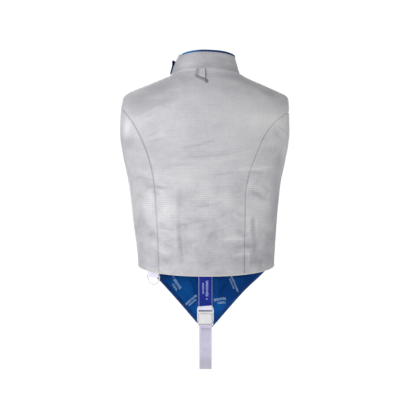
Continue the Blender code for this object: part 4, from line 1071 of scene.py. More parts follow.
def stitches(name, rows, finish, radius=0.26, length=STITCH_LENGTH, gap=STITCH_GAP):
    """Rows of stitches, each row given as points along it and the outward direction at each."""
    vertices, faces = [], []
    for points, outward in rows:
        points, outward = np.asarray(points, float), np.asarray(outward, float)
        place = running(points)
        for i in range(int(place[-1] / (length + gap))):
            start = i * (length + gap) + gap / 2
            ends = [read_at(start + length * share, place, points) for share, _, _ in STITCH_SECTIONS]
            out = unit(read_at(start + length / 2, place, outward))
            side = unit(np.cross(ends[-1] - ends[0], out))
            base = len(vertices)
            for end, (_, raised, size) in zip(ends, STITCH_SECTIONS):
                for turn in np.arange(5) * 2 * math.pi / 5:
                    push = side * math.cos(turn) + out * math.sin(turn) * 0.8
                    vertices.append(end + out * raised * radius * 1.6 + push * radius * size)
            for a in range(base, base + 20, 5):
                faces += [(a + k, a + 5 + k, a + 5 + (k + 1) % 5, a + (k + 1) % 5) for k in range(5)]
            faces += [tuple(range(base, base + 5)), tuple(range(base + 20, base + 25))[::-1]]
    return face_out(piece_from(name, vertices, faces, [finish]))


def column_row(panel, column, inset, keep):
    """A row of stitches this far in from the edge at this column, on the rows to keep."""
    surface, distance = panel.layer(0.1), edge_distance(panel.points, column)
    order = slice(None) if column == 0 else slice(None, None, -1)
    kept = [(i, order) for i in np.nonzero(keep)[0] if distance[i, order][-1] >= inset]
    return [[read_at(inset, distance[at], of[at]) for at in kept] for of in (surface, panel.outward)]


def smooth_share(levels, start, end):
    """0 before start and 1 from end on, turning smoothly, for each level."""
    return eased((levels - start) / (end - start))[:, None]


def seam_shade(levels, side):
    """How dark the shade in a curved back seam is: the left one fades towards the hem."""
    return 0.55 if side == -1 else 0.18 + 0.37 * smooth_share(levels, -275, -225)


def build_back_side(node, side, levels):
    """A side panel of the back, and the row of stitches along its armhole."""
    top = SEAMS[side].places[-1] - SIDE_PANEL_DOWN
    rows = np.concatenate(([top], levels[levels < top - 0.4]))
    inner, outer = seam_angle(rows[:, None], side), armhole_angle(rows[:, None], side, "back")
    panel = Panel(TORSO, rows, (inner + (outer - inner) * shares(44))[:, ::side], "back")
    seam_edge, outer_edge = (0, -1)[::side]
    panel.seam(seam_edge, dark=seam_shade(rows, side))
    below = smooth_share(rows, ARMPIT + 1, ARMPIT - 1)
    panel.seam(outer_edge, below)
    panel.turned_edge(outer_edge, 1 - below)
    return panel.cloth(node, (0, 2.5)), column_row(panel, outer_edge, HEM_STITCHES_IN, below[:, 0] < 0.5)


def build_back():
    """The back's middle panel and its two side panels, with the stitches on them."""
    levels = panel_levels(BACK_LOW)
    left, right = seam_angle(levels[:, None], 1), seam_angle(levels[:, None], -1)
    centre = Panel(TORSO, levels, right + (left - right) * shares(112), "back")
    ends = []
    for side, edge in ((1, -1), (-1, 0)):
        top = SEAMS[side].places[-1]
        below = smooth_share(levels, top + 2, top - 3)
        sewn = np.maximum(below, smooth_share(levels, SHOULDER_TIP - 1, SHOULDER_TIP + 1))
        centre.seam(edge, sewn, seam_shade(levels, side))
        centre.turned_edge(edge, 1 - sewn)
        ends.append((edge, below[:, 0] > 0.9, sewn[:, 0] < 0.5))
    centre.neck()
    pieces = [centre.cloth("back_center")]
    left_seam, right_seam = [column_row(centre, edge, SEAM_STITCHES_IN, joined) for edge, joined, _ in ends]
    hems = [column_row(centre, edge, HEM_STITCHES_IN, hemmed) for edge, _, hemmed in ends]
    for node, side in (("back_side_left", 1), ("back_side_right", -1)):
        piece, hem = build_back_side(node, side, levels)
        pieces.append(piece)
        hems.append(hem)
    sewn = [
        stitches("seam_stitches_left", [left_seam], THREAD_GREY, 0.22),
        stitches("seam_stitches_right", [right_seam], DARK_THREAD_AND_SHADE, 0.22),
        stitches("armhole_stitches", hems, THREAD_GREY),
    ]
    return pieces, sewn


def front_panel():
    """The fronts' panel, the columns beside the zip's slot, and the row where the zip ends."""
    levels = panel_levels(HEM, np.linspace(HEM, ZIP_END, 6)[1:], np.linspace(ZIP_END - 0.12, APRON_TIP, 68))
    low = levels[:, None]
    zone = np.maximum(low, ZIP_END)
    left, right = apron_angle(zone, 1), apron_angle(zone, -1)
    slot_left, slot_right = [front_angle_at_x(zone, ZIP_X + out * ZIP_SLOT / 2) for out in (1, -1)]
    angles = np.concatenate((
        left + (slot_left - left) * shares(SLOT_LEFT)[:-1],
        slot_left + (slot_right - slot_left) * np.linspace(0, 1, SLOT_RIGHT - SLOT_LEFT + 1)[:-1],
        slot_right + (right - slot_right) * shares(88),
    ), axis=1)
    new_left, new_right = apron_angle(low, 1), apron_angle(low, -1)
    closed = new_left + (angles - left) * (new_right - new_left) / (right - left)
    panel = Panel(TORSO, levels, np.where(low < ZIP_END, closed, angles), "front")
    return panel, int(np.argmin(np.abs(levels - ZIP_END)))


def build_fronts():
    """The two fronts, cut from one grid along the zip, with the stitches on them."""
    front, zip_row = front_panel()
    levels = front.levels
    side_seam = smooth_share(levels, ARMPIT + 1, ARMPIT - 1) * smooth_share(levels, HEM - 2, HEM + 2)
    sewn = np.maximum(smooth_share(levels, SHOULDER_TIP - 1, SHOULDER_TIP + 1), side_seam)
    hemmed = smooth_share(levels, SHOULDER_TIP + 1, SHOULDER_TIP - 1)
    hemmed = hemmed * smooth_share(levels, ARMPIT - 1, ARMPIT + 1)
    for edge in (0, -1):
        front.seam(edge, sewn)
        front.turned_edge(edge, hemmed)
    front.neck()
    zone = smooth_share(levels, ZIP_END - 3, ZIP_END + 3)
    beside = np.minimum(front.across_from(SLOT_LEFT), front.across_from(SLOT_RIGHT))
    front.lift = front.lift * (1 - 0.7 * zone * bell(beside, 14))
    front.lift += zone * 0.5 * (bell(beside, 5) - bell(beside, 1.2))
    down = row_distance(front.points, 0)
    on_left_front = np.arange(down.shape[1]) <= SLOT_RIGHT
    front.lift -= 0.7 * bell(down - down[zip_row], 1.6) * on_left_front
    i, j = front.cells()
    pieces = [
        front.cloth("front_left", (1.9, 0.0), (i < zip_row) & (j < SLOT_LEFT)),
        front.cloth("front_right", (1.9, 0.0), (i > zip_row) | (j >= SLOT_RIGHT)),
    ]
    rows, surface = levels > ZIP_END + 2, front.layer(0.1)
    lines = [(surface[rows, place], front.outward[rows, place]) for place in (SLOT_LEFT - 3, SLOT_RIGHT + 3)]
    lines += [column_row(front, edge, HEM_STITCHES_IN, hemmed[:, 0] > 0.5) for edge in (0, -1)]
    return pieces, stitches("front_stitches", lines, THREAD_GREY)


def build_linings():
    """The fronts' lining, which shows on the apron, with its own soft folds."""
    front, zip_row = front_panel()
    folds = crease_field("lining", front.points[..., 0], front.points[..., 2])
    folds += 0.5 * crumple(front.points, 26.0, 4) + 0.25 * crumple(front.points, 11.0, 5)
    for edge in (0, -1):
        folds *= 1 - bell(edge_distance(front.points, edge), 9)
    low = smooth_share(front.levels, ZIP_END + 60, ZIP_END + 10)
    front.lift = np.minimum(front.lift, 0.2) + np.minimum(folds, 0.1) * (0.25 + 0.75 * low)
    front.neck()
    # the lining's tone: painted light and shade
    front.tone = tone_field("lining", front.points[..., 0], front.points[..., 2])
    slot = np.exp(-((front.across_from(SLOT_LEFT + 1) / 13) ** 4))
    out = -LINING_IN - ZIP_ROOM * slot * smooth_share(front.levels, ZIP_END - 6, ZIP_END + 2)
    i, j = front.cells()
    return [
        shell(node + "_cloth", front.layer(out), front.layer(out - LINING), BLUE, "blue_lining", node,
              holds=holds, uv=front.uv, tone=front.tone)
        for node, holds in (
            ("front_lining_left", (i < zip_row) & (j < SLOT_LEFT - 3)),
            ("front_lining_right", (i > zip_row) | (j >= SLOT_LEFT - 1)),
        )
    ]


def build_edge_bands():
    """The navy bands on the lining along the apron's slanting edges."""
    pieces, rows, step = [], [], 0.01
    places = np.array([-0.5, 0.0, 0.6, 1.2, 2.2, 3.4, 4.6, 5.6, 6.2, 6.7, EDGE_BAND_WIDTH])
    stitched = 7
    levels = np.concatenate(([HEM + 0.5], np.linspace(HEM - 1.5, BAND_END + 1.5, 90), [BAND_END]))
    column = levels[:, None]
    for node, side in (("edge_band_left", 1), ("edge_band_right", -1)):
        edge = apron_angle(np.minimum(column, HEM - 0.01), side)
        row_way = ring_points(TORSO, column, edge + step) - ring_points(TORSO, column, edge - step)
        edge_way = unit(np.gradient(ring_points(TORSO, column, edge)[:, 0], axis=0))[:, None]
        slant = np.linalg.norm(np.cross(edge_way, unit(row_way)), axis=2)
        per_mm = side * 2 * step / (np.linalg.norm(row_way, axis=2) * np.maximum(slant, 0.35))
        band = Panel(TORSO, levels, edge + per_mm * places, "lining")
        puffed = np.sin(np.clip(places / EDGE_BAND_WIDTH, 0, 1) * math.pi) ** 0.7
        dip = 0.25 * bell(places - places[stitched], 0.5)
        band.lift = 0.18 * crumple(band.points, 12.0, 6) - 0.35 * puffed + dip
        layers = [band.layer(out)[:, ::side] for out in BAND_FACES]
        pieces.append(shell(node + "_cloth", *layers, NAVY, "navy_band", node))
        rows.append((band.layer(BAND_FACES[1] - 0.02)[2:-1, stitched], -band.outward[2:-1, stitched]))
    return pieces, stitches("band_stitches", rows, DEEP_NAVY, 0.3)


def build_hem_binding():
    """The rolled cream binding under the back's hem."""
    angles = np.linspace(-math.pi / 2 + 0.002, math.pi / 2 - 0.002, 260)
    levels = np.full_like(angles, HEM + BINDING / 2 - 0.2)
    middle, outward = ring_points(TORSO, levels, angles), ring_outward(TORSO, levels, angles)
    up = unit(ring_points(TORSO, levels + 1, angles) - middle)
    wave = 0.16 * crumple(middle, 16.0, 7)

    def line_at(turn):
        out = -0.75 + BINDING_PUFF * np.sign(math.cos(turn)) * abs(math.cos(turn)) ** 0.8 + wave
        high = (BINDING / 2 + 0.05) * math.sin(turn) + wave * 0.6
        return middle + outward * out[:, None] + up * high[:, None]

    return tube("hem_binding_cloth", 14, line_at, CREAM, "cream_binding", "hem_binding")


def high_side(angles):
    """1 where the collar's cloth stands as high as its rim, beside the wearer's left ear."""
    degrees = np.degrees(angles) % 360
    return eased((degrees - 67) / 6) * eased((118 - degrees) / 14)


def collar_angles():
    """All round the neck from one side of the collar's opening to the other."""
    opening, half_gap = float(angle_at_x(COLLAR, 0.0, ZIP_X, "front")), math.radians(0.5)
    return opening + half_gap + (2 * math.pi - 2 * half_gap) * shares(236)


def build_collar():
    """The collar of metallic cloth, with the row of stitches under its edge."""
    angles = collar_angles()
    levels = np.concatenate(([0.02, 0.6, 1.2, 2.0, 3.0], np.arange(4.5, COLLAR_TOP, 1.9), [COLLAR_TOP]))
    collar = Panel(COLLAR, levels, angles, "collar")
    collar.neck()
    top = row_distance(collar.points, -1)
    collar.lift = collar.lift * (1 - 0.8 * bell(top, 5)) - 0.5 * bell(top - COLLAR_LINE_IN, 0.8)
    near_top = np.clip((levels - COLLAR_HIGH_FROM) / (COLLAR_TOP - COLLAR_HIGH_FROM), 0, 1)[:, None]
    collar.points[..., 2] += COLLAR_HIGH * near_top * high_side(angles)
    piece = shell("collar_cloth", collar.layer(0)[::-1], collar.layer(-CLOTH)[::-1], SILVER, node="collar",
                  uv=collar.uv[::-1] + (0, 4.1), tone=collar.tone[::-1])
    row = (collar.layer(0.05)[-4], collar.outward[-4])
    return piece, stitches("collar_stitches", [row], THREAD_GREY, 0.22)


def build_rim():
    """The collar's lining: up inside the collar, over its edge and a little down outside."""
    angles = collar_angles()
    high, lines = high_side(angles), []
    for level, out in RIM_PROFILE:
        row = np.full_like(angles, level)
        line, outward = ring_points(COLLAR, row, angles), ring_outward(COLLAR, row, angles)
        rise = max(0.0, level - RIM_TOP) + 0 * angles
        if level > 38:
            rise -= RIM_DIP * np.clip(np.cos(angles), 0, 1) * bell(line[:, 0] + 18, 24)
        if level > COLLAR_TOP:
            rise -= 1.2 * high
            out = np.minimum(out, 0.95 - 2.9 * high)
        line = line + outward * (out + neck_fill(level, angles))[:, None]
        line[:, 2] += rise
        lines.append(line)
    return sweep("collar_lining_cloth", np.stack(lines, axis=1), RIM_BLUE, "blue_lining", "collar_lining")


def flap_points(levels, angles, out):
    """Points of the flap: its end stands off the collar at the top, where its corner is cut down."""
    levels, angles = np.broadcast_arrays(levels, angles)
    bend = np.maximum(0.0, (FLARE_FROM - angles) / (FLARE_FROM - FLAP_END)) ** 2
    levels = levels * (1 - FLAP_CORNER * bend)
    flare = bend * (FLARE_LOW + (FLARE_HIGH - FLARE_LOW) * (levels / FLARE_LEVEL) ** FLARE_POWER)
    off = GAP + out + flare + neck_fill(levels, angles)
    return ring_points(COLLAR, levels, angles) + ring_outward(COLLAR, levels, angles) * off[..., None]


def build_flap():
    """The closing flap with its bound end."""
    levels, start = np.linspace(32.6, 1.4, 30)[:, None], FLAP_END + math.radians(1.2)
    angles = start + (FLAP_START - start) * shares(96)
    base = flap_points(levels, angles, 0.0)
    lift = np.clip(0.3 + 0.3 * crumple(base, 20.0, 8) + 0.2 * crumple(base, 9.0, 2), 0, 1)
    outer, inner = [flap_points(levels, angles, out + lift) for out in FLAP_FACES]
    piece = shell("collar_flap_cloth", outer, inner, SILVER, node="collar_flap", inside=DEEP_NAVY)

    def line_at(turn):
        angle = FLAP_END + math.radians(0.9 + 0.9 * math.cos(turn))
        return flap_points(np.linspace(32.9, 1.1, 30), angle, 0.95 + 0.85 * math.sin(turn))

    edge = tube("flap_binding_cloth", 12, line_at, BLUE_PLAIN, "navy_band", "flap_binding")
    across = outer - inner
    rows = [(outer[3], across[3]), (outer[-4], across[-4]), (outer[3:-3, 5], across[3:-3, 5])]
    return piece, [edge, stitches("flap_stitches", rows, THREAD_GREY, 0.22)]


def build_nape_loop():
    """The hanging loop: a folded ribbon whose mouth gapes below, with a slit of shade at its short side."""
    xs = np.array((19.9, 19.6, 18.6, 16.0, 13.0, 10.0, 7.0, 4.0, 2.0, 1.2, 0.8))
    share = 1 - (xs - xs[-1]) / (xs[0] - xs[-1])
    angles = angle_at_x(TORSO, LOOP_TOP, xs, "back")
    ends = (LOOP_TOP, LOOP_TOP - LOOP_LONG)
    top, low = [ring_points(TORSO, np.full_like(xs, level), angles) for level in ends]
    down = unit(low - top)
    out = unit(np.cross(down, np.array((-1.0, 0, 0))))
    out = np.where(out[:, 1:2] < 0, -out, out)
    lean = LOOP_LEAN * (1 - share)
    mouth, rear = [short + (long - short) * share for short, long in (LOOP_FRONT, LOOP_REAR)]

    def layers(lengths, offs, thickness):
        steps = np.linspace(0, 1, 24)[:, None]
        off = np.interp(steps, np.linspace(0, 1, len(offs)), offs)
        middle = top + down * (steps * lengths)[..., None]
        middle[..., 0] = xs + lean * steps * lengths / 28.0
        return [(middle + out * (off + half)[..., None])[:, ::-1] for half in (thickness, -thickness)]

    front = layers(mouth, (1.6, 2.3, 3.0, 3.8, 4.8, 5.4), 0.42)
    # painted shade: the front layer darker towards the wearer's left
    shade = np.broadcast_to(-np.clip((xs - 11.0) / 4.0, 0, 1), front[0].shape[:2])[:, ::-1]
    piece = shell("nape_loop_cloth", *front, SILVER, node="nape_loop", inside=SHADED, tone=shade)
    # the inner layer, darker grey, is painted shade in the loop's mouth
    back = shell("nape_loop_inside", *layers(rear, (1.0, 1.8, 2.3, 2.5, 2.4, 1.8), 0.3), SHADED)

    def lip_at(turn):
        at = top + down * rear[:, None] + out * 1.9
        at[:, 0] = xs + lean
        return at + 0.6 * (down * math.cos(turn) + out * math.sin(turn))

    lip = tube("nape_loop_lip", 8, lip_at, SILVER, "silver_cloth")
    slit = build_nape_slit(top[-1], down[-1], out[-1])
    return piece, [back, lip, slit]


def build_nape_slit(top, down, out):
    """A dark cord down the loop's short side, which turns aside and widens near its end: painted shade
    standing in for the slit of shade there.
    """
    steps = np.linspace(0, 1, 40)
    bent = eased((steps - 0.66) / 0.19)
    size = (0.7 + 1.9 * bent) * np.clip((1 - steps) / 0.07, 0.05, 1) ** 0.5

    def slit_at(turn):
        off = 1.6 + 2.0 * np.sin(steps * math.pi) + 0.5 * math.sin(turn)
        at = top + down * (1.5 + steps * SLIT_LONG)[:, None] + out * off[:, None]
        at[:, 0] = 0.1 - SLIT_ASIDE * bent + size * math.cos(turn)
        return at

    return tube("nape_loop_slit", 8, slit_at, DARK_THREAD_AND_SHADE, "silver_cloth")


def build_zip():
    """The zip's tape and its two rows of teeth."""
    levels = np.arange(-2.0, ZIP_END + 1.0, -2.0)
    places = np.linspace(ZIP_TAPE_WIDTH / 2, -ZIP_TAPE_WIDTH / 2, 19)
    tape = Panel(TORSO, levels, front_angle_at_x(levels[:, None], ZIP_X + places), "collar")
    tape.lift = np.zeros_like(tape.lift)
    face, back = tape.layer(-CLOTH - 0.25), tape.layer(-CLOTH - 0.85)
    piece = shell("zip_tape_cloth", face, back, TAPE, "zip_tape", "zip")
    path, outward = tape.points[:, 9], tape.outward[:, 9]
    length, vertices, faces = running(path), [], []
    corners = np.array([(x, y, z) for x in (-1, 1) for y in (-1, 1) for z in (-1, 1)], float)
    sides = ((0, 1, 3, 2), (4, 6, 7, 5), (0, 4, 5, 1), (2, 3, 7, 6), (0, 2, 6, 4), (1, 5, 7, 3))
    for i in range(int((length[-1] - TEETH_START - 2) / TOOTH_PITCH)):
        place = TEETH_START + i * TOOTH_PITCH
        here, ahead = read_at(place, length, path), read_at(place + 1, length, path)
        out, along = unit(read_at(place, length, outward)), unit(ahead - here)
        across = np.cross(along, out)
        middle = here + across * (TOOTH_OFF if i % 2 else -TOOTH_OFF) + out * (TOOTH_UP - CLOTH)
        vertices.append(middle + corners * TOOTH_HALF_SIZES @ np.stack((across, along, out)))
        faces += [tuple(8 * i + k for k in side) for side in sides]
    teeth = piece_from("zip_teeth", np.concatenate(vertices), faces, [TEETH], "zip_tape")
    edges = teeth.modifiers.new("edges", "BEVEL")
    edges.width = 0.12 * MM
    edges.segments = 1
    return piece, teeth


# ---------------------------------------------------------------- the straps, as paths of (y, z) points
WRAP_RADIUS = BAR_THICKNESS / 2 + BAR_CLEARANCE + WEBBING / 2
JOINED = WEBBING / 2 + GAP / 2
TAIL_END = FEMALE_BAR[1] + STRAP_TAIL


def along_buckle(down, out):
    """The point this far down the leaning buckle, and this far out of its middle plane."""
    y = BUCKLE_TOP[0] - down * math.sin(BUCKLE_LEAN) + out * math.cos(BUCKLE_LEAN)
    z = BUCKLE_TOP[1] - down * math.cos(BUCKLE_LEAN) - out * math.sin(BUCKLE_LEAN)
    return y, z


def wrap(middle, start, end):
    """A round stretch about a bar, in the buckle's own directions."""
    turns = [math.radians(start + (end - start) * i / 16) for i in range(17)]
    return [(middle + WRAP_RADIUS * math.sin(turn), WRAP_RADIUS * math.cos(turn)) for turn in turns]


def smooth_path(points, count):
    """A smooth curve through the points, with count steps between each and the next."""
    padded = [points[0], *points, points[-1]]
    path = []
    for around in zip(padded, padded[1:], padded[2:], padded[3:]):
        p, q, r, s = (Vector(point) for point in around)
        for i in range(count):
            t = i / count
            bend, twist = (2 * p - 5 * q + 4 * r - s) * t**2, (3 * q - p - 3 * r + s) * t**3
            path.append(tuple((2 * q + (r - p) * t + bend + twist) / 2))
    return path + [tuple(points[-1])]


def even_path(path, step=1.2):
    """The same path in even steps, its corners eased."""
    path = np.array(path, float)
    path = path[np.concatenate(((True,), np.diff(running(path)) > 1e-6))]
    length = running(path)
    found = read_at(np.linspace(0, length[-1], max(2, round(length[-1] / step)) + 1), length, path)
    for _ in range(3):
        found[1:-1] = found[1:-1] * 0.5 + (found[:-2] + found[2:]) * 0.25
    return found


def sideways(path):
    """The way square to a path at each of its points."""
    ways = unit(np.gradient(path, axis=0))
    return np.stack((-ways[:, 1], ways[:, 0]), axis=1)


def strap(name, path, width, thickness, finish, slot, node="", step=1.2):
    """Webbing along a path, with rounded selvedges. Gives the piece and its length."""
    path, half = even_path(path, step), width / 2
    insets = np.array((0.02, 0.2, 0.55, 1.2, 2.2))
    across = np.concatenate((insets - half, np.linspace(3.2 - half, half - 3.2, 11), (half - insets)[::-1]))
    from_edge = np.clip((half - np.abs(across)) / 0.7, 0, 1)
    thick = thickness / 2 * np.sqrt(np.clip(1 - (1 - from_edge) ** 2, 0.04, 1))
    xs, outs = np.concatenate((across, across[::-1])), np.concatenate((thick, -thick[::-1]))
    rings = np.empty((len(path), len(xs), 3))
    rings[..., 0] = xs
    rings[..., 1:] = path[:, None] + sideways(path)[:, None] * outs[:, None]
    length = running(path)
    uv = np.stack(np.broadcast_arrays(xs, length[:, None]), axis=-1)
    return sweep(name, rings, finish, slot, node, uv), length[-1]


def build_ring_tab():
    """The webbing tab sewn inside the back's hem, folded round the bar of the D-ring."""
    level = np.array(BACK_HEM)
    angle = angle_at_x(TORSO, level, RING_X, "back")
    outward = unit(ring_outward(TORSO, level, angle) * (1, 1, 0))
    across, up = np.array((outward[1], -outward[0], 0.0)), np.array((0.0, 0.0, 1.0))
    inset = CLOTH + TAB_INSET + TAB_THICKNESS / 2
    middle = ring_points(TORSO, level, angle) - outward * inset - up * RING_DROP + across * TAB_SHIFT
    half, fold = TAB_LAYER / 2, RING_WIRE / 2 + 0.3 + TAB_LAYER / 2
    front = [(half + 0.1, TAB_TOP), (half + 0.1, 12.0), (half + 0.25, 5.5)]
    turns = np.linspace(0.6, 2 * math.pi - 0.6, 23)
    round_bar = [(fold * math.sin(turn), fold * math.cos(turn)) for turn in turns]
    sagging = [(y, z if z > 0 else z * TAB_SAG) for y, z in round_bar]
    path = front + sagging + [(-y, z) for y, z in front[::-1]]
    piece, length = strap("ring_tab_web", path, TAB_WIDTH, TAB_LAYER, TAB_WEBBING, "plain_webbing", step=0.6)
    points = np.array([tuple(vertex.co) for vertex in piece.data.vertices])
    placed = middle * MM + points @ np.stack((across, outward, up))
    piece.data.vertices.foreach_set("co", placed.ravel())
    piece.data.update()
    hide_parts("ring_tab")
    return piece, length


def cross_row(point, out, half):
    """A row of stitching straight across webbing, at this point and this way out of it."""
    points = np.stack(np.broadcast_arrays(np.linspace(-half, half, 9), *point), axis=1)
    return points, np.broadcast_to((0.0, *out), points.shape)


def build_upper_strap():
    """The strap from inside the back's hem to the buckle and round its bar, with the label on it."""
    hem = ring_points(TORSO, np.array(BACK_HEM), np.array(0.0))
    start_y = hem[1] - SOLID_CLOTH - 2 * GAP - WEBBING / 2 - 0.4
    seen = [(start_y, hem[2] + 24), (start_y, hem[2] + 10), (start_y - 1.2, hem[2] - 4), *STRAP_FALL]
    seen = smooth_path(seen + [along_buckle(down, JOINED) for down in (-12.0, -4.0)], 8)
    places = [(0.0, WRAP_RADIUS), *wrap(MALE_BAR_LOW - BAR_THICKNESS / 4, 0, 180)]
    places += [(0.0, -WRAP_RADIUS), (-4.0, -JOINED), (-16.0, -JOINED)]
    path = seen + [along_buckle(*place) for place in places]
    white = strap("strap_upper_web", path, PRINTED_WIDTH, UPPER_THICKNESS, WHITE_WEBBING, "printed_webbing",
                  "strap_printed")
    return white, build_label(seen + [along_buckle(0.0, WRAP_RADIUS)])


def build_lower_strap():
    """The strap from the buckle's other bar, hanging in a curve, to inside the apron's tip."""
    bar_top, bar_low = FEMALE_BAR
    bar_end, joint = bar_low + 1, bar_low + 5
    places = [(TAIL_END, JOINED), (joint, JOINED), (bar_end, WRAP_RADIUS)]
    places += wrap(bar_top + BAR_THICKNESS / 4, 360, 180)
    places += [(bar_end, -WRAP_RADIUS), (joint, -JOINED)]
    inset = SOLID_CLOTH + SOLID_LINING + 2 * GAP + WEBBING / 2 + STRAP_SLACK
    lower = [along_buckle(TAIL_END, -JOINED), *STRAP_ROUTE]
    for level, rise in ((APRON_TIP, 1.0), (APRON_TIP + STRAP_SEWN, 0.0)):
        point = ring_points(TORSO, np.array(level), front_angle_at_x(np.array(level), 0.0))
        lower.append((point[1] + inset, point[2] + rise))
    path = [along_buckle(*place) for place in places] + smooth_path(lower, 14)
    return strap("strap_lower_web", path, PLAIN_WIDTH, WEBBING, PLAIN_WEBBING, "plain_webbing", "strap_plain")


def build_strap_stitches():
    """The rows of stitches that hold each strap's folded end."""
    out = np.array((math.cos(BUCKLE_LEAN), -math.sin(BUCKLE_LEAN)))
    surface, half = JOINED + WEBBING / 2 + 0.1, PLAIN_WIDTH / 2 - 1.5
    rows = [cross_row(along_buckle(TAIL_END - inset, surface), out, half) for inset in (2.2, 3.4)]
    inner_side = -JOINED - UPPER_THICKNESS / 2 - 0.1
    rows.append(cross_row(along_buckle(-11.0, inner_side), -out, PRINTED_WIDTH / 2 - 2))
    return stitches("strap_stitches", rows, THREAD_MAUVE, 0.34, 2.8, 0.4)


def build_label(path):
    """The printed label over the upper strap, its end cut on a slight slant."""
    path = even_path(path)
    side, length = sideways(path), running(path)
    if side[:, 0].mean() < 0:
        side = -side
    xs = np.linspace(LABEL_WIDTH / 2, -LABEL_WIDTH / 2, 25)
    end = np.interp(-LABEL_END, -path[:, 1], length) + LABEL_SLANT * xs
    place = LABEL_START + np.linspace(0, 1, 84)[:, None] * (end - LABEL_START)
    across = np.broadcast_to(xs, place.shape)[..., None]
    base = np.concatenate((across, read_at(place, length, path)), axis=-1)
    way = np.concatenate((np.zeros((*place.shape, 1)), read_at(place, length, side)), axis=-1)
    edge = np.minimum(LABEL_WIDTH / 2 - np.abs(base[..., 0]), end - place)
    soft = 0.12 * (1 + crumple(base, 14.0, 12)) - 0.16 * bell(edge - 1.3, 0.6)
    low = UPPER_THICKNESS / 2 + 0.12
    outer, top = [base + way * (low + rise + soft)[..., None] for rise in (0.35, 0.42)]
    uv = np.stack((base[..., 0], place), axis=-1)
    piece = shell("strap_label", outer, base + way * low, LABEL, "printed_webbing", uv=uv)
    rows = [(top[:-2, column], way[:-2, column]) for column in (1, -2)] + [(top[-3], way[-3])]
    return [piece, stitches("label_stitches", rows, THREAD_BLUE, 0.18, 2.2, 1.0)]


def dress(node, finish, bevel=0.0):
    """Gives a CAD node its finish, and eases its edges."""
    obj = NODES[node]
    obj.data.materials.clear()
    obj.data.materials.append(finish)
    if bevel:
        edges = obj.modifiers.new("edges", "BEVEL")
        edges.width = bevel * MM
        edges.segments = 2
        edges.limit_method = "ANGLE"
        edges.angle_limit = math.radians(35)


# ---------------------------------------------------------------- the studio
def build_floor():
    """A plain pale floor under the vest."""
    mesh = bpy.data.meshes.new("floor")
    size, level = 3.3, -1.75
    corners = [(-size, -size, level), (size, -size, level), (size, size, level), (-size, size, level)]
    mesh.from_pydata(corners, [], [(0, 1, 2, 3)])
    paper = Finish("floor_paper", 0.9, Base_Color=(0.86, 0.86, 0.86, 1), Emission_Color=(1, 1, 1, 1),
                   Emission_Strength=0.3)
    mesh.materials.append(paper.material)
    linked("floor", mesh)


def build_room():
    """A room lighter behind the vest and at its left, which the camera sees as white."""
    world = bpy.data.worlds.new("studio")
    bpy.context.scene.world = world
    world.use_nodes = True
    tree = world.node_tree
    background = tree.nodes["Background"]
    background.inputs["Color"].default_value = (1.0, 1.0, 0.985, 1)
    x, y, _ = add_node(tree, "ShaderNodeTexCoord", "Generated").xyz()
    feed(tree, background.inputs["Strength"], x * ROOM_SLOPE[0] + y * ROOM_SLOPE[1] + ROOM_LIGHT)
    seen = add_node(tree, "ShaderNodeBackground", Color=(255, 255, 255), Strength=1.05)
    mix = tree.nodes.new("ShaderNodeMixShader")
    rays = add_node(tree, "ShaderNodeLightPath", "Is Camera Ray")
    for socket, wire in zip(mix.inputs, (rays, Wire(tree, background.outputs[0]), seen)):
        feed(tree, socket, wire)
    tree.links.new(mix.outputs[0], tree.nodes["World Output"].inputs["Surface"])


def build_lamp(name, place, aim, power, colour):
    """A square soft lamp which looks from its place at its aim."""
    light = bpy.data.lights.new(name, "AREA")
    light.size = 1.8
    light.energy = power
    light.color = colour
    obj = linked(name, light)
    obj.location = place
    obj.rotation_mode = "QUATERNION"
    obj.rotation_quaternion = (Vector(aim) - Vector(place)).to_track_quat("-Z", "Y")


def build_camera():
    """The camera behind the vest, looking slightly down at it, as in the photo."""
    view = bpy.data.cameras.new("camera")
    view.sensor_width = 36.0
    view.lens = CAMERA_LENS
    view.clip_start, view.clip_end = 0.1, 100.0
    camera = linked("camera", view)
    camera.location = CAMERA_AT
    camera.rotation_euler = (math.radians(90 - CAMERA_DOWN), 0, math.pi)
    bpy.context.scene.camera = camera
    bpy.context.scene.view_settings.view_transform = "Standard"
    bpy.context.scene.view_settings.look = "None"


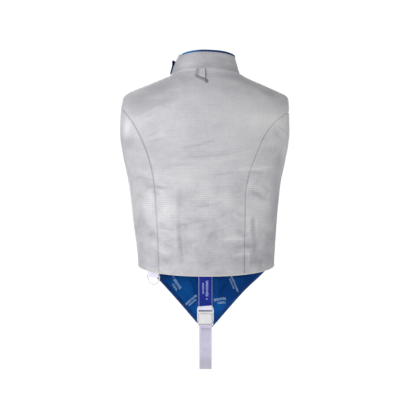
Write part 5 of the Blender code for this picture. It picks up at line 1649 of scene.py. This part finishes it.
build_floor()
build_room()
build_lamp("key", (2.6, 2.1, 0.5), (0, 0, -0.2), 41.5, (0.985, 0.975, 1.0))
build_lamp("front_key", (0.5, -2.9, 0.1), (0, 0, -0.25), 38.0, (1.0, 0.99, 0.98))
build_camera()
(center_cloth, left_cloth, right_cloth), back_sewn = build_back()
(left_front, right_front), front_sewn = build_fronts()
left_lining, right_lining = build_linings()
band_pieces, band_sewn = build_edge_bands()
hem_piece = build_hem_binding()
collar_piece, collar_sewn = build_collar()
rim_piece = build_rim()
flap_piece, flap_parts = build_flap()
loop_piece, loop_parts = build_nape_loop()
tape_piece, teeth_piece = build_zip()
(upper_web, upper_length), label_pieces = build_upper_strap()
lower_web, lower_length = build_lower_strap()
strap_sewn = build_strap_stitches()
tab_piece, tab_length = build_ring_tab()
for node in ("zip_slider", "zip_pull"):
    dress(node, STEEL, 0.15)
dress("d_ring", STEEL)
for node in ("buckle_male", "buckle_female"):
    dress(node, PLASTIC)


def cut(piece, width, length, with_pieces=()):
    """Works out a sheet's cut area, its cloth's own but no more than the flat size that it was cut to; the
    area and the list of pieces are not kept.
    """
    area = min(CUT_AREAS.get(piece.name, width * length), width * length)
    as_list(with_pieces)


cut(center_cloth, 0.40, 0.47, [hem_piece, *back_sewn])
cut(left_cloth, 0.125, 0.37)
cut(right_cloth, 0.13, 0.365)
cut(left_front, 0.21, 0.46)
cut(right_front, 0.45, 0.62, [front_sewn])
cut(left_lining, 0.21, 0.46)
cut(right_lining, 0.45, 0.62, [*band_pieces, band_sewn])
cut(collar_piece, 0.46, 0.044, [collar_sewn])
cut(rim_piece, 0.46, 0.05)
cut(flap_piece, 0.12, 0.034, flap_parts)
cut(loop_piece, 0.0184, 0.0315, loop_parts)
cut(tape_piece, ZIP_TAPE_WIDTH * MM, 0.45, [teeth_piece])
cut(upper_web, PRINTED_WIDTH * MM, upper_length * MM, label_pieces)
cut(lower_web, PLAIN_WIDTH * MM, lower_length * MM, [strap_sewn])
cut(tab_piece, TAB_WIDTH * MM, tab_length * MM)
